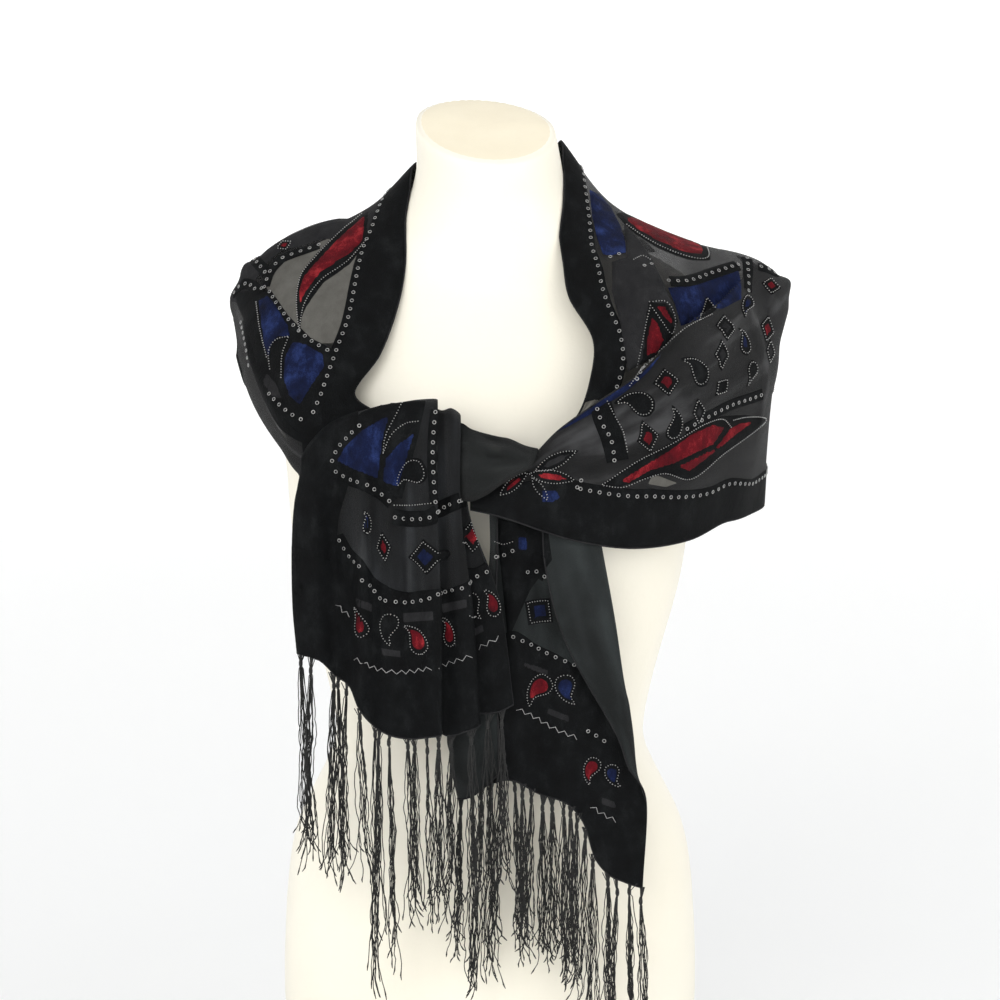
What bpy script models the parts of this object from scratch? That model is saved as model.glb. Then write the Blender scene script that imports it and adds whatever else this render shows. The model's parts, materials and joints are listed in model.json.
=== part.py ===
"""Velvet shawl tied in front on a limbless dress form.

Metres, +Z up, the front looks along -Y. The origin is the centre of the form's flat base.
Tables are in millimetres. Each stretch of the shawl that shows is a closed wall of its own.
"""
import math
import random

import bmesh
import bpy
import numpy as np
from mathutils import Vector
from mathutils.bvhtree import BVHTree

MM = 0.001
WALL = 1.6
SEAM = 0.44
CLEAR = 1.7
LAYER = 3.6
FOLD_RADIUS = 1.8

for old in list(bpy.data.objects):
    bpy.data.objects.remove(old, do_unlink=True)
for old in list(bpy.data.meshes):
    bpy.data.meshes.remove(old)


def material(name, colour, roughness):
    """A plain Principled material for one kind of surface."""
    made = bpy.data.materials.new(name)
    made.use_nodes = True
    shader = made.node_tree.nodes["Principled BSDF"]
    shader.inputs["Base Color"].default_value = (*colour, 1.0)
    shader.inputs["Roughness"].default_value = roughness
    made.diffuse_color = (*colour, 1.0)
    return made


FORM_CREAM = material("form_cream", (0.88, 0.84, 0.72), 0.35)
SHAWL_CLOTH = material("shawl_cloth", (0.018, 0.019, 0.022), 0.85)
FRINGE_THREAD = material("fringe_thread", (0.022, 0.021, 0.022), 0.8)


def spread(count):
    """Even steps from 0 up to, and without, 1."""
    return [step / count for step in range(count)]


def spline(points, splits):
    """Centripetal Catmull-Rom through the points, with splits[i] steps in interval i."""
    pts = np.asarray(points, float)
    gaps = np.sqrt(np.linalg.norm(np.diff(pts, axis=0), axis=1)) + 1e-3
    knots = np.concatenate([[0.0], np.cumsum(gaps)])
    slopes = np.diff(pts, axis=0) / gaps[:, None]
    tangents = np.empty_like(pts)
    tangents[0] = slopes[0]
    tangents[-1] = slopes[-1]
    for i in range(1, len(pts) - 1):
        before = gaps[i - 1]
        after = gaps[i]
        tangents[i] = (slopes[i - 1] * after + slopes[i] * before) / (before + after)
    out = []
    for i, count in enumerate(splits):
        span = knots[i + 1] - knots[i]
        for t in spread(count):
            h00 = 2 * t ** 3 - 3 * t ** 2 + 1
            h10 = t ** 3 - 2 * t ** 2 + t
            h01 = -2 * t ** 3 + 3 * t ** 2
            h11 = t ** 3 - t ** 2
            out.append(h00 * pts[i] + h10 * span * tangents[i]
                       + h01 * pts[i + 1] + h11 * span * tangents[i + 1])
    out.append(pts[-1])
    return np.array(out)


def loft(sections, across, along):
    """Grid [row, column, xyz] through sections, smooth both ways."""
    rows = np.array([spline(section, across) for section in sections])
    columns = [spline(rows[:, j], along) for j in range(rows.shape[1])]
    return np.stack(columns, axis=1)


def bisector(grid, axis):
    """Direction through each grid point along an axis, both neighbours weighing the same."""
    step = np.diff(grid, axis=axis)
    step /= np.linalg.norm(step, axis=2, keepdims=True) + 1e-9
    first = np.take(step, [0], axis=axis)
    last = np.take(step, [-1], axis=axis)
    return np.concatenate([first, step], axis=axis) + np.concatenate([step, last], axis=axis)


def grid_normals(grid):
    """Unit normals of a grid, row direction crossed with column direction."""
    normal = np.cross(bisector(grid, 0), bisector(grid, 1))
    return normal / (np.linalg.norm(normal, axis=2, keepdims=True) + 1e-9)


def wall_mesh(grid, normals, wall=WALL):
    """Vertices and faces of a closed wall centred on the grid."""
    rows, columns = grid.shape[:2]
    outer = (grid + normals * wall / 2).reshape(-1, 3)
    inner = (grid - normals * wall / 2).reshape(-1, 3)
    verts = np.concatenate([outer, inner])
    half = rows * columns
    faces = []
    for i in range(rows - 1):
        for j in range(columns - 1):
            a = i * columns + j
            for cell in ((a, a + 1, a + columns + 1), (a, a + columns + 1, a + columns)):
                faces.append(cell)
                faces.append(tuple(half + k for k in reversed(cell)))
    ring = list(range(columns))
    ring += [i * columns + columns - 1 for i in range(1, rows)]
    ring += [(rows - 1) * columns + j for j in range(columns - 2, -1, -1)]
    ring += [i * columns for i in range(rows - 2, 0, -1)]
    for k, a in enumerate(ring):
        b = ring[(k + 1) % len(ring)]
        faces.append((b, a, half + a, half + b))
    return verts, faces


def add_object(name, verts, faces, mat):
    """One object with outward faces, smooth shading and one material."""
    mesh = bpy.data.meshes.new(name)
    mesh.from_pydata([tuple(v) for v in np.asarray(verts) * MM], [], faces)
    work = bmesh.new()
    work.from_mesh(mesh)
    bmesh.ops.recalc_face_normals(work, faces=work.faces)
    if work.calc_volume(signed=True) < 0:
        bmesh.ops.reverse_faces(work, faces=work.faces)
    work.to_mesh(mesh)
    work.free()
    mesh.materials.append(mat)
    for polygon in mesh.polygons:
        polygon.use_smooth = True
    obj = bpy.data.objects.new(name, mesh)
    bpy.context.scene.collection.objects.link(obj)
    return obj


# The dress form: rings of (height, half width, front y, back y), then the neck's sloping cap.
FORM_RINGS = (
    (0, 150, -85, 85),
    (4, 153, -88, 88),
    (60, 161, -92, 108),
    (120, 165, -96, 118),
    (180, 163, -98, 112),
    (229, 159, -96, 104),
    (262, 152, -94, 96),
    (290, 138, -91, 86),
    (321, 122, -86, 77),
    (336, 120, -85, 75),
    (352, 122, -85, 76),
    (380, 128, -87, 81),
    (415, 138, -91, 88),
    (450, 148, -96, 95),
    (485, 154, -100, 102),
    (520, 157, -101, 106),
    (560, 159, -101, 107),
    (600, 170, -96, 105),
    (635, 184, -82, 105),
    (660, 182, -69, 99),
    (682, 165, -57, 90),
    (700, 138, -50, 82),
    (716, 107, -47, 75),
    (731, 81, -46, 69),
    (745, 67, -46, 64),
    (760, 59, -46, 60),
    (775, 56, -48, 56),
)
FORM_SEGMENTS = 48
CAP_CENTRE = (-3, 0, 809)
CAP_RADII = (54, 50)
CAP_SLOPE = (-math.tan(math.radians(5)), math.tan(math.radians(17.5)))
BUST = ((-68, 515), (68, 515))
BUST_REACH = (38, 50)
BUST_RISE = 20
SLOPE_HEIGHT = 705
NECK_HEIGHT = 700


def form_ring(height, half_width, front, back):
    """Ring points of the body, with the soft bust raised on the front."""
    points = []
    slope = 0.4 * math.exp(-((height - SLOPE_HEIGHT) / 26) ** 2)
    neck = 0.25 * min(1.0, max(0.0, (height - NECK_HEIGHT) / 50))
    exponent = 2.25 - slope - neck
    centre = (front + back) / 2
    depth = (back - front) / 2
    for k in range(FORM_SEGMENTS):
        angle = 2 * math.pi * (k + 0.5) / FORM_SEGMENTS
        c = math.cos(angle)
        s = math.sin(angle)
        x = half_width * math.copysign(abs(c) ** (2 / exponent), c)
        y = centre + depth * math.copysign(abs(s) ** (2 / exponent), s)
        if s < 0:
            for bust_x, bust_z in BUST:
                far = ((x - bust_x) / BUST_REACH[0]) ** 2 + ((height - bust_z) / BUST_REACH[1]) ** 2
                y -= BUST_RISE * math.exp(-far) * min(1.0, -2 * s)
        points.append((x, y, height))
    return points


def cap_point(angle, scale, lift):
    """A point of the neck's sloping cap, at a share of its radii."""
    x = CAP_CENTRE[0] + CAP_RADII[0] * scale * math.cos(angle)
    y = CAP_CENTRE[1] + CAP_RADII[1] * scale * math.sin(angle)
    z = CAP_CENTRE[2] + (x - CAP_CENTRE[0]) * CAP_SLOPE[0] + y * CAP_SLOPE[1] + lift
    return (x, y, z)


def form_mesh():
    """The whole dress form: body rings, the cap's rounded rim and two end fans."""
    rings = [form_ring(*row) for row in FORM_RINGS]
    angles = [2 * math.pi * (k + 0.5) / FORM_SEGMENTS for k in range(FORM_SEGMENTS)]
    rim = [cap_point(a, 1.0, -2.0) for a in angles]
    rings.append([tuple((np.array(p) + q) / 2) for p, q in zip(rings[-1], rim)])
    rings.append(rim)
    rings.append([cap_point(a, 0.975, 0.0) for a in angles])
    rings.append([cap_point(a, 0.5, 0.4) for a in angles])
    verts = [p for ring in rings for p in ring]
    n = FORM_SEGMENTS
    faces = []
    for i in range(len(rings) - 1):
        for k in range(n):
            faces.append((i * n + k, i * n + (k + 1) % n, (i + 1) * n + (k + 1) % n, (i + 1) * n + k))
    base = len(verts)
    verts.append((0, 0, 0))
    verts.append(cap_point(0, 0, 0.5))
    top = (len(rings) - 1) * n
    for k in range(n):
        faces.append((base, (k + 1) % n, k))
        faces.append((base + 1, top + k, top + (k + 1) % n))
    return verts, faces


form_verts, form_faces = form_mesh()
dress_form = add_object("dress_form", form_verts, form_faces, FORM_CREAM)
FORM_TREE = BVHTree.FromPolygons([Vector(v) for v in form_verts], form_faces, epsilon=0.0)


def shortfall(point, gap):
    """How far, and which way, a point has to go to clear the form by the gap."""
    near, normal, _face, _far = FORM_TREE.find_nearest(Vector(point))
    offset = Vector(point) - near
    depth = offset.length if offset.dot(normal) > 0 else -offset.length
    return max(0.0, gap - depth) * np.array(normal)


def keep_clear(grid, gap=CLEAR, passes=5):
    """Push a grid out until its points, edges and cells clear the form by the gap."""
    out = grid.copy()
    rows, columns = out.shape[:2]
    corners = (((0, 0),), ((0, 0), (0, 1)), ((0, 0), (1, 0)), ((0, 0), (0, 1), (1, 0), (1, 1)))
    for _ in range(passes):
        for group in corners:
            for i in range(rows - max(c[0] for c in group)):
                for j in range(columns - max(c[1] for c in group)):
                    at = [(i + di, j + dj) for di, dj in group]
                    middle = sum(out[k] for k in at) / len(at)
                    push = shortfall(middle, gap)
                    if push.any():
                        for k in at:
                            out[k] += push
    return out


# The shawl round the shoulders. Columns run from the neck edge to the outer edge.
# Photo left: the tail end of the wrap, from behind the front tail up to the shoulder.
YOKE_LEFT = {
    "L6": ((-22, -117, 585), (-22, -122, 578), (-22, -125, 570), (-22, -126, 562),
           (-22, -125, 554), (-22, -122, 546), (-22, -117, 540)),
    "L5": ((-88, -109, 604), (-84, -116, 594), (-82, -121, 583), (-80, -125, 572),
           (-80, -126, 562), (-82, -124, 553), (-85, -119, 545)),
    "L4": ((-101, -103, 615), (-110, -112, 604), (-121, -118, 591), (-130, -119, 578),
           (-138, -115, 566), (-142, -108, 556), (-140, -98, 549)),
    "L3": ((-82, -86, 643), (-107, -102, 629), (-132, -112, 612), (-152, -110, 595),
           (-159, -100, 582), (-158, -90, 572), (-148, -82, 566)),
    "L2": ((-67, -55, 685), (-100, -75, 669), (-138, -86, 650), (-166, -81, 630),
           (-181, -64, 611), (-179, -52, 597), (-168, -44, 589)),
    "L1": ((-62, -20, 733), (-98, -33, 716), (-142, -43, 695), (-180, -39, 671),
           (-195, -24, 649), (-194, -17, 630), (-182, -14, 617)),
    "L0": ((-59, 20, 775), (-90, 14, 745), (-138, 8, 722), (-183, 4, 697),
           (-201, 6, 674), (-198, 12, 650), (-186, 17, 634)),
}
YOKE_BACK = {
    "BL": ((-46, 60, 772), (-84, 80, 728), (-126, 96, 686), (-156, 97, 655),
           (-166, 92, 620), (-163, 86, 585), (-152, 80, 552)),
    "BCL": ((-24, 76, 778), (-46, 98, 732), (-70, 118, 685), (-88, 124, 632),
            (-98, 122, 575), (-103, 115, 515), (-106, 108, 455)),
    "BC": ((0, 80, 781), (0, 103, 732), (0, 120, 684), (0, 128, 626),
           (0, 126, 560), (0, 120, 490), (0, 114, 420)),
    "BCR": ((24, 76, 783), (46, 98, 735), (70, 118, 687), (88, 124, 632),
            (98, 122, 572), (104, 114, 510), (108, 106, 448)),
    "BR": ((46, 60, 782), (86, 82, 732), (132, 98, 691), (170, 97, 658),
           (195, 88, 608), (203, 78, 555), (204, 68, 504)),
}
# Photo right: the same columns, then how far the inner half tucks under the crest and
# how far the fold is made up (0 open, 1 closed).
YOKE_RIGHT = {
    "R0": ((56, 25, 793), (94, 18, 746), (150, 10, 719), (213, 1, 700),
           (231, -4, 671), (219, -5, 604), (213, -6, 512), -30, 0),
    "R1": ((53, -30, 732), (98, -45, 716), (150, -50, 703), (198, -30, 694),
           (218, -38, 650), (211, -42, 585), (199, -38, 511), -5, 0.5),
    "R1b": ((56, -50, 707), (100, -64, 704), (146, -66, 698), (188, -48, 690),
            (204, -57, 641), (200, -60, 578), (190, -56, 511), 5, 1),
    "R2": ((60, -68, 684), (100, -80, 687), (138, -80, 688), (176, -67, 681),
           (188, -78, 632), (185, -78, 572), (178, -72, 511), 16, 1),
    "R3": ((78, -92, 654), (99, -98, 653), (122, -99, 652), (146, -103, 665),
           (156, -112, 615), (157, -109, 560), (151, -100, 503), 30, 1),
    "R4": ((76, -106, 628), (87, -109, 629), (99, -109, 628), (112, -121, 634),
           (118, -132, 592), (116, -135, 548), (108, -129, 502), 36, 1),
    "R5": ((66, -113, 600), (70, -116, 603), (73, -119, 604), (76, -133, 611),
           (78, -144, 578), (74, -147, 543), (66, -144, 510), 36, 1),
    "R6": ((46, -123, 583), (48, -126, 586), (49, -129, 588), (50, -139, 593),
           (47, -148, 570), (42, -152, 545), (36, -149, 520), 26, 1),
    "R7": ((32, -125, 568), (33, -128, 570), (33, -131, 571), (33, -142, 576),
           (29, -148, 560), (24, -151, 543), (20, -150, 526), 20, 1),
    "R8": ((8, -128, 552), (9, -131, 553), (9, -134, 553), (10, -145, 555),
           (8, -149, 547), (6, -151, 539), (4, -150, 531), 9, 1),
    "R9": ((-13, -124, 545), (-13, -127, 545), (-13, -130, 545), (-13, -140, 547),
           (-14, -143, 543), (-14, -145, 538), (-14, -144, 534), 5, 1),
}
PLAIN_ACROSS = (2, 2, 3, 3, 2, 2)
PLAIN_ROWS = 2
FOLD_ACROSS = (3, 3, 3, 1, 1, 3, 1, 1, 3, 3, 2)
FOLD_ALONG = (2, 3, 3, 3, 2, 2, 2, 2, 2, 2, 2)
EASE_PASSES = 4
EASE_ROWS = range(5, 10)
EASE_COLUMNS = range(7, 19)


def toward(a, b):
    """Unit direction from a to b."""
    step = np.asarray(b, float) - np.asarray(a, float)
    return step / np.linalg.norm(step)


def folded(section, along):
    """Section of the photo-right front with its fold: 12 controls in place of 7."""
    pts = [np.array(p, float) for p in section[:7]]
    tuck = section[7]
    shut = section[8]
    crest = pts[3]
    if not shut:
        line = spline(pts, (20,) * 6)
        picks = {"A": 49, "tip_in": 53, "B": 57, "D": 60, "tip_out": 62, "E": 65}
        mid = [line[k] for k in picks.values()]
        return [*pts[:3], *mid, *pts[4:]]
    fall = toward(crest, pts[4])
    out = np.cross(fall, along)
    out /= np.linalg.norm(out)
    if out[1] > 0:
        out = -out
    r = FOLD_RADIUS

    def at(reach, layers):
        """A point down the fall from the crest, some layers of cloth behind it."""
        return crest + fall * reach - out * LAYER * layers
    if shut < 1:
        return [*pts[:3], at(tuck - 6, 1), at(tuck - 2, 0.9), at(tuck + 1, 0.65),
                at(-2.5, 0.4), at(0, 0.1), at(3.5, 0), *pts[4:]]
    return [*pts[:3], at(tuck - r, 2), at(tuck, 1.5), at(tuck - r, 1),
            at(r, 1), at(0, 0.5), at(r + 0.6, 0), *pts[4:]]


def end_rows(grid):
    """Pull the first and last rows back by half a seam along the cloth."""
    out = grid.copy()
    for row, inward in ((0, 1), (-1, -2)):
        step = grid[inward] - grid[row]
        step /= np.linalg.norm(step, axis=1, keepdims=True)
        out[row] = grid[row] + step * SEAM / 2
    return out


ring_sections = [*YOKE_LEFT.values(), *YOKE_BACK.values(), YOKE_RIGHT["R0"][:7], YOKE_RIGHT["R1"][:7]]
plain = keep_clear(loft(ring_sections, PLAIN_ACROSS, [PLAIN_ROWS] * (len(ring_sections) - 1)))
plain_normals = grid_normals(plain)
# How many sections each stretch goes on: front, shoulder, back and shoulder again.
STRETCHES = (
    ("shawl_right_front", len(YOKE_LEFT) - 1),
    ("shawl_right_shoulder", 1),
    ("shawl_back", len(YOKE_BACK) - 1),
    ("shawl_left_shoulder", 1),
)
start = 0
for stretch, sections in STRETCHES:
    stop = start + sections * PLAIN_ROWS
    stretch_grid = end_rows(plain[start:stop + 1])
    add_object(stretch, *wall_mesh(stretch_grid, plain_normals[start:stop + 1]), SHAWL_CLOTH)
    start = stop

fold_table = [(*YOKE_BACK["BR"], -30, 0), *YOKE_RIGHT.values()]
fold_sections = []
for k, section in enumerate(fold_table):
    before = fold_table[max(k - 1, 0)]
    after = fold_table[min(k + 1, len(fold_table) - 1)]
    run = np.array(after[3], float) + after[4] - np.array(before[3], float) - before[4]
    fold_sections.append(folded(section, run))
fold_grid = keep_clear(loft(fold_sections, FOLD_ACROSS, FOLD_ALONG))
# Where the fold starts, its small turns are eased so that the wall doesn't meet itself.
for _ in range(EASE_PASSES):
    eased = fold_grid.copy()
    for i in EASE_ROWS:
        for j in EASE_COLUMNS:
            eased[i, j] = (fold_grid[i, j] * 2 + fold_grid[i, j - 1] + fold_grid[i, j + 1]) / 4
    fold_grid = eased
fold_normals = grid_normals(fold_grid)
left_start = FOLD_ALONG[0]
left_grid = end_rows(fold_grid[left_start:])
add_object("shawl_left_front", *wall_mesh(left_grid, fold_normals[left_start:]), SHAWL_CLOTH)

# The wrong side of the cloth, pulled over the knot. Rows run from its tip to the front tail.
KNOT_ROWS = (
    ((37, -145.8, 576), (36, -149.2, 581), (35, -153.3, 578), (34, -154.8, 574), (32, -154.3, 570),
     (32, -151.2, 567)),
    ((27, -148, 580), (26, -153, 584), (24, -160, 579), (23, -162, 573), (21, -161, 566),
     (21, -156, 562)),
    ((14, -147, 584), (14, -152, 589), (12, -161, 582), (10, -164, 573), (8, -163, 560),
     (9, -157, 555)),
    ((1, -148, 586), (1, -152, 590), (0, -160, 582), (-2, -163, 569), (-4, -162, 552),
     (-2, -156, 547)),
    ((-13, -147, 591), (-13, -151, 596), (-13, -157, 585), (-14, -159, 570), (-14, -158, 548),
     (-13, -154, 542)),
    ((-19.5, -149, 596), (-19.5, -152, 600), (-19.8, -155.5, 586), (-19.8, -156.5, 569),
     (-19.8, -156.5, 548), (-19.5, -154, 542)),
)
knot_grid = loft(KNOT_ROWS, (2, 3, 3, 3, 2), (2, 2, 2, 2, 2))
add_object("knot_band", *wall_mesh(knot_grid, grid_normals(knot_grid)), SHAWL_CLOTH)

# The front tail. Columns run from photo left to photo right with their pleats.
# The crest rolls over: (x, front y, centre y of the roll, height of the roll's centre).
FRONT_CREST = (
    (-140, -129, -126.5, 567), (-136, -130.5, -126.5, 573), (-128, -136, -131, 583),
    (-118, -138, -134, 593), (-107, -142, -137, 598), (-97, -147, -140, 600),
    (-87, -146, -140, 604), (-75, -151, -142, 604), (-63, -149, -143, 609),
    (-51, -153, -145, 609), (-38, -158, -146, 605), (-42, -154, -146, 605),
    (-35, -150, -146, 605), (-28, -154.5, -145, 601), (-21, -156, -145, 594),
    (-24, -151.5, -145, 594), (-23, -148.5, -145, 590), (-19, -145.5, -141, 585),
    (-16, -144, -140, 580),
)
FRONT_RING = (
    (-143, -122, 534), (-145, -131, 534), (-130, -139, 535), (-116, -134, 534), (-104, -141, 536),
    (-94, -150, 537), (-86, -147, 537), (-73, -153, 538), (-62, -149, 537), (-50, -156, 538),
    (-38, -160, 539), (-42, -153, 538), (-34, -150, 537), (-27, -155, 538), (-21, -157, 538),
    (-24, -152, 537), (-22, -148, 537), (-19, -147, 537), (-16, -148, 537),
)
FRONT_MID = (
    (-144, -122, 461), (-147, -131, 463), (-130, -139, 463), (-116, -134, 461), (-104, -141, 462),
    (-95, -151, 463), (-86, -147, 462), (-74, -154, 463), (-61, -149, 462), (-47, -157, 464),
    (-36, -161, 465), (-39, -153, 463), (-32, -150, 463), (-23, -155, 465), (-13, -153, 465),
    (-17, -148, 465), (-12, -146, 465), (-3, -149, 466), (7, -147, 467),
)
FRONT_HEM = (
    (-142, -122, 421), (-144, -131, 422), (-127, -141, 419), (-115, -136, 406), (-105, -142, 400),
    (-97, -152, 384), (-88, -149, 372), (-75, -155, 365), (-59, -151, 361), (-44, -158, 364),
    (-36, -161, 366), (-39, -153, 368), (-31, -150, 363), (-19, -155, 367), (-7, -153, 372),
    (-10, -148, 380), (-4, -145, 379), (7, -148, 381), (18, -146, 386),
)
CREST_TURN = ((90, -5), (90, 0), (45, 0), (0, 0), (-50, 0), (-90, 0))


def rolled(turn, drop):
    """One row of the crest's roll, turned from the top (0) to the back (90) or front (-90)."""
    row = []
    for x, front, centre, height in FRONT_CREST:
        radius = centre - front
        angle = math.radians(turn)
        row.append((x, centre + radius * math.sin(angle), height + radius * math.cos(angle) + drop))
    return row


front_rows = [rolled(turn, drop) for turn, drop in CREST_TURN]
front_rows += [list(FRONT_RING), list(FRONT_MID), list(FRONT_HEM)]
front_across = (1, 1, 1, 2, 2, 1, 2, 2, 2, 1, 2, 2, 1, 1, 1, 1, 1, 2)
front_grid = keep_clear(loft(front_rows, front_across, (1, 1, 1, 1, 1, 3, 3, 4)))
add_object("front_tail", *wall_mesh(front_grid, grid_normals(front_grid)), SHAWL_CLOTH)

# The under tail, both side edges folded forward. Columns run from one folded edge to the other.
UNDER_ROWS = (
    ((6, -138, 536), (4, -138, 536), (1, -136, 535), (0, -133, 535), (1, -130, 534),
     (8, -130, 535), (19, -132, 539), (33, -130, 541), (47, -132, 542), (60, -130, 541),
     (69, -130, 541), (77, -133, 542), (73, -137.5, 542), (56, -139, 543), (40, -140, 543)),
    ((6, -139, 495), (4, -139, 495), (1, -137, 495), (0, -134, 494), (1, -130, 493),
     (9, -130, 493), (20, -133, 494), (33, -129, 493), (48, -133, 494), (66, -129, 493),
     (82, -130, 493), (86, -134, 494), (83, -137.5, 495), (63, -139.6, 495), (41, -139.5, 495)),
    ((4, -140, 435), (-2, -139, 435), (-8, -137, 434), (-10, -134, 434), (-8, -130, 433),
     (3, -130, 433), (18, -134, 434), (36, -129, 433), (54, -134, 434), (75, -129, 433),
     (93, -130, 433), (97, -134, 434), (94, -137, 434), (75, -139, 435), (56, -139, 435)),
    ((7, -140, 359), (-11, -140, 359), (-29, -138, 359), (-32, -135, 358), (-29, -131, 357),
     (-12, -129, 357), (10, -134, 358), (34, -129, 357), (57, -134, 358), (83, -128, 356),
     (104, -130, 355), (109, -133, 356), (107, -136, 357), (103, -138, 357), (97, -139, 358)),
    ((7, -140, 351), (-12, -140, 344), (-27, -138, 346), (-30, -135, 346), (-27, -131, 344),
     (-11, -129, 343), (11, -134, 348), (34, -129, 343), (57, -134, 340), (81, -128, 336),
     (102, -130, 334), (110, -132.5, 335), (111, -134.5, 335), (109, -136.3, 335), (105, -138, 335)),
    ((7, -140, 347), (-12.5, -140, 336), (-26.5, -138, 339), (-29.5, -135, 339.5), (-26.5, -131, 337),
     (-10.5, -129, 336), (11.5, -134, 342), (34, -129, 335), (57, -134, 330), (79.5, -128, 325),
     (101, -130, 324), (110, -131.6, 324), (112.3, -133.2, 324), (113.6, -135.4, 324), (113, -138, 324)),
    ((7, -140, 343), (-13, -140, 328), (-26, -138, 332), (-29, -135, 333), (-26, -131, 330),
     (-10, -129, 328), (12, -134, 337), (34, -129, 328), (57, -134, 320), (78, -128, 313),
     (100, -130, 313), (109, -131, 312), (112, -132, 312), (115, -133, 311), (118, -134, 311)),
    ((7, -140, 331), (-11, -140, 315), (-21, -138, 311), (-24, -135, 311), (-21, -131, 309),
     (-7, -129, 317), (15, -134, 325), (38, -129, 313), (58, -134, 307), (71, -129, 291),
     (81, -128, 261), (92, -130, 249), (101, -130, 245), (108, -129, 242), (116, -127, 239)),
)
under_across = (2, 2, 1, 1, 2, 2, 2, 2, 2, 2, 1, 1, 2, 2)
under_grid = keep_clear(loft(UNDER_ROWS, under_across, (2, 3, 3, 1, 1, 1, 3)))
add_object("under_tail", *wall_mesh(under_grid, grid_normals(under_grid)), SHAWL_CLOTH)

# Fringe: a narrow backing strip below each hem with tapered four-sided locks drawn out of it.
STRIP_DEPTH = 2.6
STRIP_GAP = 0.62
LOCK_WIDTH = 1.7
LOCK_THICK = 1.6
LOCK_TAPER = 0.55
LOCK_LANE = 3.3
LOCK_STEPS = (0.1, 0.3, 0.55, 0.8, 1.0)
LANE_STEP = 2.2
LANE_SPREAD = 2.2
SIDE_MARGIN = 2.0
STATION_GAP = 0.4
random.seed(7)


def hem_frame(grid, picks):
    """Hem points, the way out of the cloth in its own plane, and its normal, at the picks."""
    hem = grid[-1][picks]
    way = grid[-1][picks] - grid[-2][picks]
    run = np.gradient(hem, axis=0)
    run /= np.linalg.norm(run, axis=1, keepdims=True)
    way -= run * np.sum(way * run, axis=1, keepdims=True)
    way /= np.linalg.norm(way, axis=1, keepdims=True)
    face = np.cross(way, run)
    return hem, way, face / np.linalg.norm(face, axis=1, keepdims=True)


def fringe(name, frame, tassels):
    """tassels: (x at the hem, length). Locks keep to lanes of their own in x and y."""
    hem, way, face = frame
    lengths = np.linalg.norm(np.diff(hem, axis=0), axis=1)
    walked = np.concatenate([[0.0], np.cumsum(lengths)])
    fine = np.arange(0.0, walked[-1], 0.5)

    def sample(table, where):
        """The table's value at a distance walked along the hem."""
        return np.array([np.interp(where, walked, table[:, k]) for k in range(3)])

    line_x = np.interp(fine, walked, hem[:, 0])
    cuts = []
    last = -1e9
    last_x = -1e9
    for x, length in tassels:
        middle = fine[int(np.argmin(np.abs(line_x - x)))]
        for lane in (-1, 0, 1):
            where = middle + lane * LOCK_LANE
            at_x = np.interp(where, walked, hem[:, 0])
            if not SIDE_MARGIN < where < walked[-1] - SIDE_MARGIN:
                continue
            if where < last + LOCK_LANE - 0.01 or at_x < last_x + LOCK_LANE * 0.7:
                continue
            last = where
            last_x = at_x
            cuts.append((where, lane, length * random.uniform(0.93, 1.05)))
    stations = [0.0]
    bottoms = {}
    knots = list(walked[1:-1])
    for where, lane, length in cuts:
        low = where - LOCK_WIDTH / 2
        high = where + LOCK_WIDTH / 2
        stations += [k for k in knots if stations[-1] + STATION_GAP < k < low - STATION_GAP]
        bottoms[len(stations)] = (lane, length)
        stations += [low, high]
    stations += [k for k in knots if stations[-1] + STATION_GAP < k]
    stations.append(walked[-1])
    verts = []
    for station in stations:
        p = sample(hem, station)
        e = sample(way, station)
        n = sample(face, station)
        for side, reach in ((-1, 0), (1, 0), (1, STRIP_DEPTH), (-1, STRIP_DEPTH)):
            verts.append(tuple(p + e * (STRIP_GAP + reach) - n * side * WALL / 2))
    faces = [(3, 2, 1, 0)]
    count = len(stations)
    for i in range(count - 1):
        a = i * 4
        b = a + 4
        faces.append((a, a + 1, b + 1, b))
        faces.append((a + 1, a + 2, b + 2, b + 1))
        faces.append((a + 3, a, b, b + 3))
        if i not in bottoms:
            faces.append((a + 2, a + 3, b + 3, b + 2))
            continue
        lane, length = bottoms[i]
        previous = [a + 3, a + 2, b + 2, b + 3]
        root = np.mean([verts[k] for k in previous], axis=0)
        phase = random.uniform(0, 6.28)
        sway = random.uniform(0.25, 0.5)
        for share in LOCK_STEPS:
            size = 1 - LOCK_TAPER * share
            half = LOCK_WIDTH / 2 * size
            deep = LOCK_THICK / 2 * size
            away = lane * LANE_STEP * min(1.0, share * LANE_SPREAD)
            cx = root[0] + sway * (math.sin(phase + share * 5.0) - math.sin(phase))
            cy = root[1] + away + 0.3 * (math.sin(phase + share * 4.0) - math.sin(phase))
            cz = root[2] - length * share
            fresh = []
            for dx, dy in ((-half, -deep), (-half, deep), (half, deep), (half, -deep)):
                fresh.append(len(verts))
                verts.append((cx + dx, cy + dy, cz))
            for k in range(4):
                m = (k + 1) % 4
                faces.append((previous[m], previous[k], fresh[k], fresh[m]))
            previous = fresh
        faces.append(tuple(previous))
    end = (count - 1) * 4
    faces.append((end, end + 1, end + 2, end + 3))
    return add_object(name, verts, faces, FRINGE_THREAD)


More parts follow.
